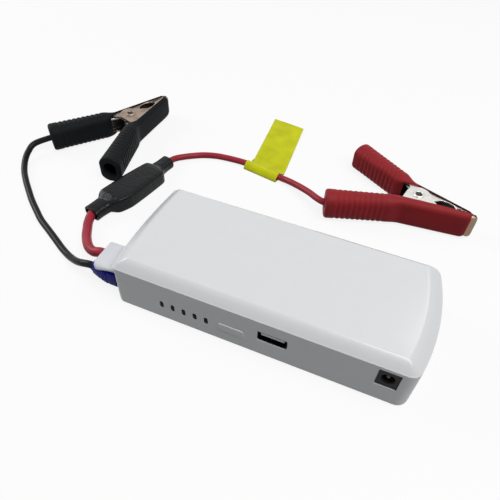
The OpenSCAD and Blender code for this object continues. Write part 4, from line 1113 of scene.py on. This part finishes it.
def grip_sections(lean, tall, lip, front_gap, rear_r):
    """Rows of (u, v, angle, extent along v, extent along z, corner, lean), rear end first."""
    front = -front_gap
    deep = lip + COVER
    tip_deep = min(deep, COVER + TIP_BACK - 0.8 * MM)
    rows = []
    places = [HANDLE_L - x * MM for x in (0, 0.06, 0.2, 0.45, 0.8, 1.2, 1.8, 2.6, 3.6)]
    ribbed = HANDLE_L - COLLAR - BLEND
    places += steps(HANDLE_L - COLLAR, BLEND, round(ribbed / RIB_PITCH * 10))
    for d in places:
        inset = 2 * (rim_inset(HANDLE_L - d, rear_r) + rib_groove(d))
        corner = (4.6 + 1.8 * d / HANDLE_L) * MM
        rows.append((*handle_point(d, 0), -SLOPE, 2 * handle_half(d) - inset, GRIP_H - inset,
                     corner - inset / 3, 0))

    def jaw_row(u):
        share = (u - front) / (BEND_U - front)
        extent = tip_deep + (deep + 1 * MM - tip_deep) * share
        extra = 0.6 * MM * share
        tilt = lean * max(0, 1 - (front - u) / (12 * MM)) ** 2
        return (u, back_at(u) + COVER + extra - extent / 2, 0, extent, tall, 3.4 * MM, tilt)

    # the bend: values ease over and the middle line keeps its slope
    start, end = rows[-1], jaw_row(BEND_U + BLEND)
    span = end[0] - start[0]
    start_slope, end_slope = -tan(SLOPE), (jaw_row(BEND_U + BLEND + MM)[1] - end[1]) / MM
    for t in steps(0, 1, 16)[1:-1]:
        e = t * t * (3 - 2 * t)
        v = start[1] + (end[1] - start[1]) * e + span * t * (1 - t) * (
            start_slope * (1 - t) - end_slope * t)
        rows.append((start[0] + span * t, v,
                     *(p + (q - p) * e for p, q in zip(start[2:], end[2:]))))
    rows += [jaw_row(u) for u in steps(BEND_U + BLEND, front - FRONT_R, 26)]
    for far in steps(12, 90, 7):
        far = radians(far)
        u, v, angle, extent, high, corner, tilt = jaw_row(front - FRONT_R * (1 - sin(far)))
        inset = FRONT_INSET * (1 - cos(far))
        rows.append((u, v - inset / 2, angle, extent - inset, high - 2 * inset, corner, tilt))
    return rows


def grip_ring(row):
    """One section: its outer corners are round, and a thin lip's inside edge is cut off flat."""
    u, v, angle, extent, high, corner, lean = row
    whole = max(extent, 2.15 * corner)
    ring = []
    for a, b in rounded(whole, high, corner, 8):
        a += (extent - whole) / 2
        a = max(a, -extent / 2 + (a + extent / 2) * 0.08)
        ring.append((u + a * sin(-angle) + lean * (a - extent / 2), v + a * cos(angle),
                     MID_Z + b))
    return ring


# The mouth at a grip's rear end: [place past the end, extent, height, corner], in mm.
CLOSED_MOUTH = mm((2, 5.6, 5.6, 2.7), (-1.6, 5.6, 5.6, 2.7), (-2.6, 8.6, 11.4, 3.4))
OPEN_MOUTH = mm((2, 8.6, 11, 4.2), (-0.5, 7.8, 10.2, 3.8), (-3.6, 7.8, 10.2, 3.8))


def make_grip(name, clamp, side, body, material, lip, front_gap, tall, lean, closed_rear):
    """A ribbed rubber sleeve with a room for its arm; lip is how deep it wraps the jaw."""
    rear_r = 1.8 if closed_rear else 1.3
    rows = grip_sections(lean, *(x * MM for x in (tall, lip, front_gap, rear_r)))
    obj = build(name + "_sleeve", loft([grip_ring(row) for row in rows]))
    wide = (OUTER_W if side < 0 else INNER_W) + 2 * TOUCH

    def across(d, extent, high, corner):
        return [(*handle_point(d, a), MID_Z + b) for a, b in rounded(extent, high, corner, 6)]

    handle = [across(HANDLE_L + past, *size)
              for past, *size in (CLOSED_MOUTH if closed_rear else OPEN_MOUTH)]
    handle += [across(d, 2 * (handle_half(d) - GRIP_WALL + TOUCH), wide, 2.6 * MM)
               for d in (HANDLE_L - 5 * MM, 4 * MM)]
    reach, low_reach = (handle_half(d * MM) - GRIP_WALL + TOUCH for d in (8, 5))
    slot = []
    # the room's edges along the back are bevelled, as the folded metal's are round
    for z, bevel in mm((0, 1.3), (0.38, 0.5), (1.3, 0)):
        outline = [(5 * MM, -30 * MM), (5 * MM, TIP_BACK + TOUCH - bevel),
                   (0, TIP_BACK + TOUCH - bevel), (BEND_U, back_at(BEND_U) + TOUCH - bevel),
                   handle_point(8 * MM, reach - bevel), handle_point(8 * MM, -low_reach),
                   handle_point(5 * MM, -low_reach), (BEND_U - 1.5 * MM, 7.4 * MM),
                   (BEND_U - 1.5 * MM, -30 * MM)]
        slot.append([(u, v, MID_Z - wide / 2 + z) for u, v in outline])
    slot += [[(u, v, 2 * MID_Z - z) for u, v, z in ring] for ring in reversed(slot)]
    cut(obj, build("handle_room", loft(handle)), build("jaw_room", loft(slot)))
    return dress(obj, body, material, name + "_grip", sharp=38, place=clamp_matrix(clamp, side))


RIVET_TOP = OUTER_W / 2 + 0.55 * MM
# A rivet's lower half: [radius, height above its lower face]. The first row is the bore's floor.
RIVET = mm((2.0, 0.45), (2.0, 0.15), (2.15, 0), (2.7, 0), (3.0, 0.2), (3.1, 0.4), (3.1, 0.5),
           (2.2, 0.5))


def make_rivet(name, clamp, material):
    """A flat-headed tube rivet; the inside of its bore is painted dark, as shade."""
    sides = 40
    profile = [(r, h - RIVET_TOP) for r, h in RIVET]
    profile += [(r, -h) for r, h in reversed(profile)]
    obj = build(name + "_pin", lathe(profile, (PIVOT_U, 0, MID_Z), 2, sides))
    dress(obj, "leads", material, name, "plated_steel", place=clamp_matrix(clamp))
    last = len(profile) - 2  # the last band; the caps' faces come after it
    # painted shade: the bore's wall and floor take the dark metal
    paint(obj, "dark_metal", which=lambda face: int(not 0 < face.index // sides < last))


WIRE = 1.6 * MM
COIL_R = 4.3 * MM
COIL_PITCH = WIRE + 0.45 * MM
COIL_TURNS, COIL_STEPS = 3, 120
LEG_L = 32 * MM


def make_spring(name, clamp, arm):
    """Torsion spring round the rivet, with a leg along each handle; it twists as the arm turns."""
    to_bend = Vector((BEND_U - PIVOT_U, back_at(BEND_U) - SHEET))
    clear = COIL_R + WIRE / 2 + 0.2 * MM
    leg_angle = atan2(to_bend.y, to_bend.x) + asin(clear / to_bend.length)
    leg_touch = leg_angle - pi / 2
    sweep = 2 * pi * COIL_TURNS + 2 * leg_touch
    rise = COIL_PITCH * sweep / (2 * pi)
    bottom, top = MID_Z - rise / 2, MID_Z + rise / 2
    coil = [Vector((PIVOT_U + COIL_R * cos(a), COIL_R * sin(a), z))
            for a, z in zip(steps(-leg_touch, -leg_touch + sweep, COIL_STEPS),
                            steps(bottom, top, COIL_STEPS))]
    leg = Vector((cos(leg_angle), sin(leg_angle), 0)) * LEG_L
    first = coil[0] + Vector((leg.x, -leg.y, 0))
    path = [*(first.lerp(coil[0], t) for t in steps(0, 1, 12)[:-1]), *coil,
            *(coil[-1] + leg * t for t in steps(0, 1, 12)[1:])]
    obj = build(name + "_coil", tube(path, WIRE / 2, 14))
    obj.data.transform(clamp_matrix(clamp))
    dress(obj, None, "steel", name, sharp=60)
    # the moving arm's leg is the upper one on the red clamp, the lower one on the black
    ends = [bottom + WIRE * 0.6, top - WIRE * 0.6]
    if arm == "black_arm":
        ends.reverse()
    x, y, _ = clamp_matrix(clamp) @ Vector((PIVOT_U, 0, 0))
    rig.blend(obj, "leads", arm, start=(x, y, ends[0]), end=(x, y, ends[1]))


# name, clamp, side, body, the metals of the arm and of its tip, and the grip's values: rubber, lip,
# gap between the tip and its front edge, height (these three in mm), lean, closed rear end
ARMS = (
    ("red_outer", RED_CLAMP, -1, "leads", "bright_metal", "tan_metal",
     ("red_rubber", 4.2, 3, 17.6, 0.15, True)),
    # the red inner arm's tip takes the dark metal: painted shade over its nose
    ("red_inner", RED_CLAMP, 1, "red_arm", "bright_metal", "dark_metal",
     ("red_rubber", 1.3, 3, 13.7, 0.15, False)),
    ("black_outer", BLACK_CLAMP, -1, "black_arm", "copper_metal", "copper_metal",
     ("black_rubber", 0.3, 0.8, 16.4, 0.9, False)),
    ("black_inner", BLACK_CLAMP, 1, "leads", "copper_metal", "copper_metal",
     ("black_rubber", 1.2, 0.8, 13.7, 0.15, True)))
for *arm, _ in ARMS:
    make_jaw(*arm)
grips = {name: make_grip(name, clamp, side, body, *values)
         for name, clamp, side, body, _, _, values in ARMS}
# painted shade: the thin rubber along the red inner arm's back, from 7 mm in front of the bend, is coloured dark red
# as if in shade
to_clamp = clamp_matrix(RED_CLAMP).inverted() @ grips["red_inner"].matrix_world
paint(grips["red_inner"], "aged_rubber",
      which=lambda face: int((to_clamp @ face.center).x > BEND_U + 7 * MM))
make_rivet("red_rivet", RED_CLAMP, "bright_metal")
make_rivet("black_rivet", BLACK_CLAMP, "copper_metal")
make_spring("red_spring", RED_CLAMP, "red_arm")
make_spring("black_spring", BLACK_CLAMP, "black_arm")

# ------ what the leads are

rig.cord(black_cord, exit=black_path[0], length=black_length, diameter=BLACK_D, far_end="connector",
        stiffness="medium", lay="loose", path=black_path,
        with_pieces=["black_inner_arm_metal", "black_inner_sleeve", "black_rivet_pin"])
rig.cord(short_cord, exit=short_path[0], length=short_length, diameter=SHORT_D, far_end="fitting",
        stiffness="medium", lay="loose", path=short_path, with_pieces=[module])
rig.cord(long_cord, exit=module_point(MODULE_L, 0, MOUTH_Z), length=long_length, diameter=RED_D,
        far_end="connector", stiffness="medium", lay="loose", path=long_path,
        with_pieces=[label, "red_outer_arm_metal", "red_outer_sleeve", "red_rivet_pin"])

# ------ floor and light

SKY = 0.16  # the room's light; what the camera sees of it is white
FLOOR_REACH, FLOOR_DROP = 2.5, 0.05 * MM
FLOOR_LIT, FLOOR_DIM, FLOOR_GLOW = 0.9, 0.15, 0.86


def seen_directly(tree):
    """1 for rays that show the background: to the camera, in gloss and through glass."""
    path = node(tree, "LightPath")
    value = path.outputs["Is Camera Ray"]
    for kind in ("Is Glossy Ray", "Is Transmission Ray"):
        either = node(tree, "Math", {"operation": "MAXIMUM"})
        put(tree, either.inputs[0], value)
        put(tree, either.inputs[1], path.outputs[kind])
        value = either.outputs[0]
    return value


def mixed(tree, share, first, second):
    """Blends the outputs of two shader nodes."""
    made = node(tree, "MixShader", Fac=share)
    put(tree, made.inputs[1], first.outputs[0])
    put(tree, made.inputs[2], second.outputs[0])
    return made


# a pale floor: where it is seen it glows a little, and it throws less light on the pack
floor = build("floor", ([(x * FLOOR_REACH, y * FLOOR_REACH, -FLOOR_DROP)
                         for x, y in ((-1, -1), (1, -1), (1, 1), (-1, 1))], [(0, 1, 2, 3)]))
made = bpy.data.materials.new("floor")
made.use_nodes = True
tree = made.node_tree
tree.nodes.remove(tree.nodes["Principled BSDF"])
lit = node(tree, "BsdfDiffuse", Color=shade((1, 1, 1), FLOOR_LIT))
dim = node(tree, "BsdfDiffuse", Color=shade((1, 1, 1), FLOOR_DIM))
white = node(tree, "Emission", Color=(1, 1, 1, 1), Strength=1.0)
both = mixed(tree, seen_directly(tree), dim, mixed(tree, FLOOR_GLOW, lit, white))
put(tree, tree.nodes["Material Output"].inputs["Surface"], both.outputs[0])
floor.data.materials.append(made)
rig.stage(floor)

world = bpy.data.worlds.new("studio")
scene.world = world
world.use_nodes = True
tree = world.node_tree
level = node(tree, "MapRange", Value=seen_directly(tree), To_Min=SKY, To_Max=1.0)
feed(tree, tree.nodes["Background"], Color=(1, 1, 1, 1), Strength=level.outputs["Result"])

# name, place, target, sides and power
for name, at, target, size, power in (
        ("key", (0.4, -0.12, 0.95), (-0.03, 0.05, 0), (0.7, 0.7), 7.6),
        ("fill", (-0.95, 0.1, 0.55), (-0.03, 0.05, 0), (0.5, 0.5), 4.2),
        ("edge", (0.35, 0.65, 0.75), (0.05, 0.0, 0.02), (0.2, 0.3), 0.5)):
    data = bpy.data.lights.new(name, "AREA")
    data.shape = "RECTANGLE"
    data.size, data.size_y = size
    data.energy = power
    lamp = add(name, data)
    lamp.location = at
    lamp.rotation_mode = "QUATERNION"
    lamp.rotation_quaternion = (Vector(target) - Vector(at)).to_track_quat("-Z", "Y")

shown_low, shown_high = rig.bounds()
with open("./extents.json", "w") as size_file:
    json.dump({"cad": [list(cad_low), list(cad_high)], "visual": [list(shown_low), list(shown_high)]},
              size_file)
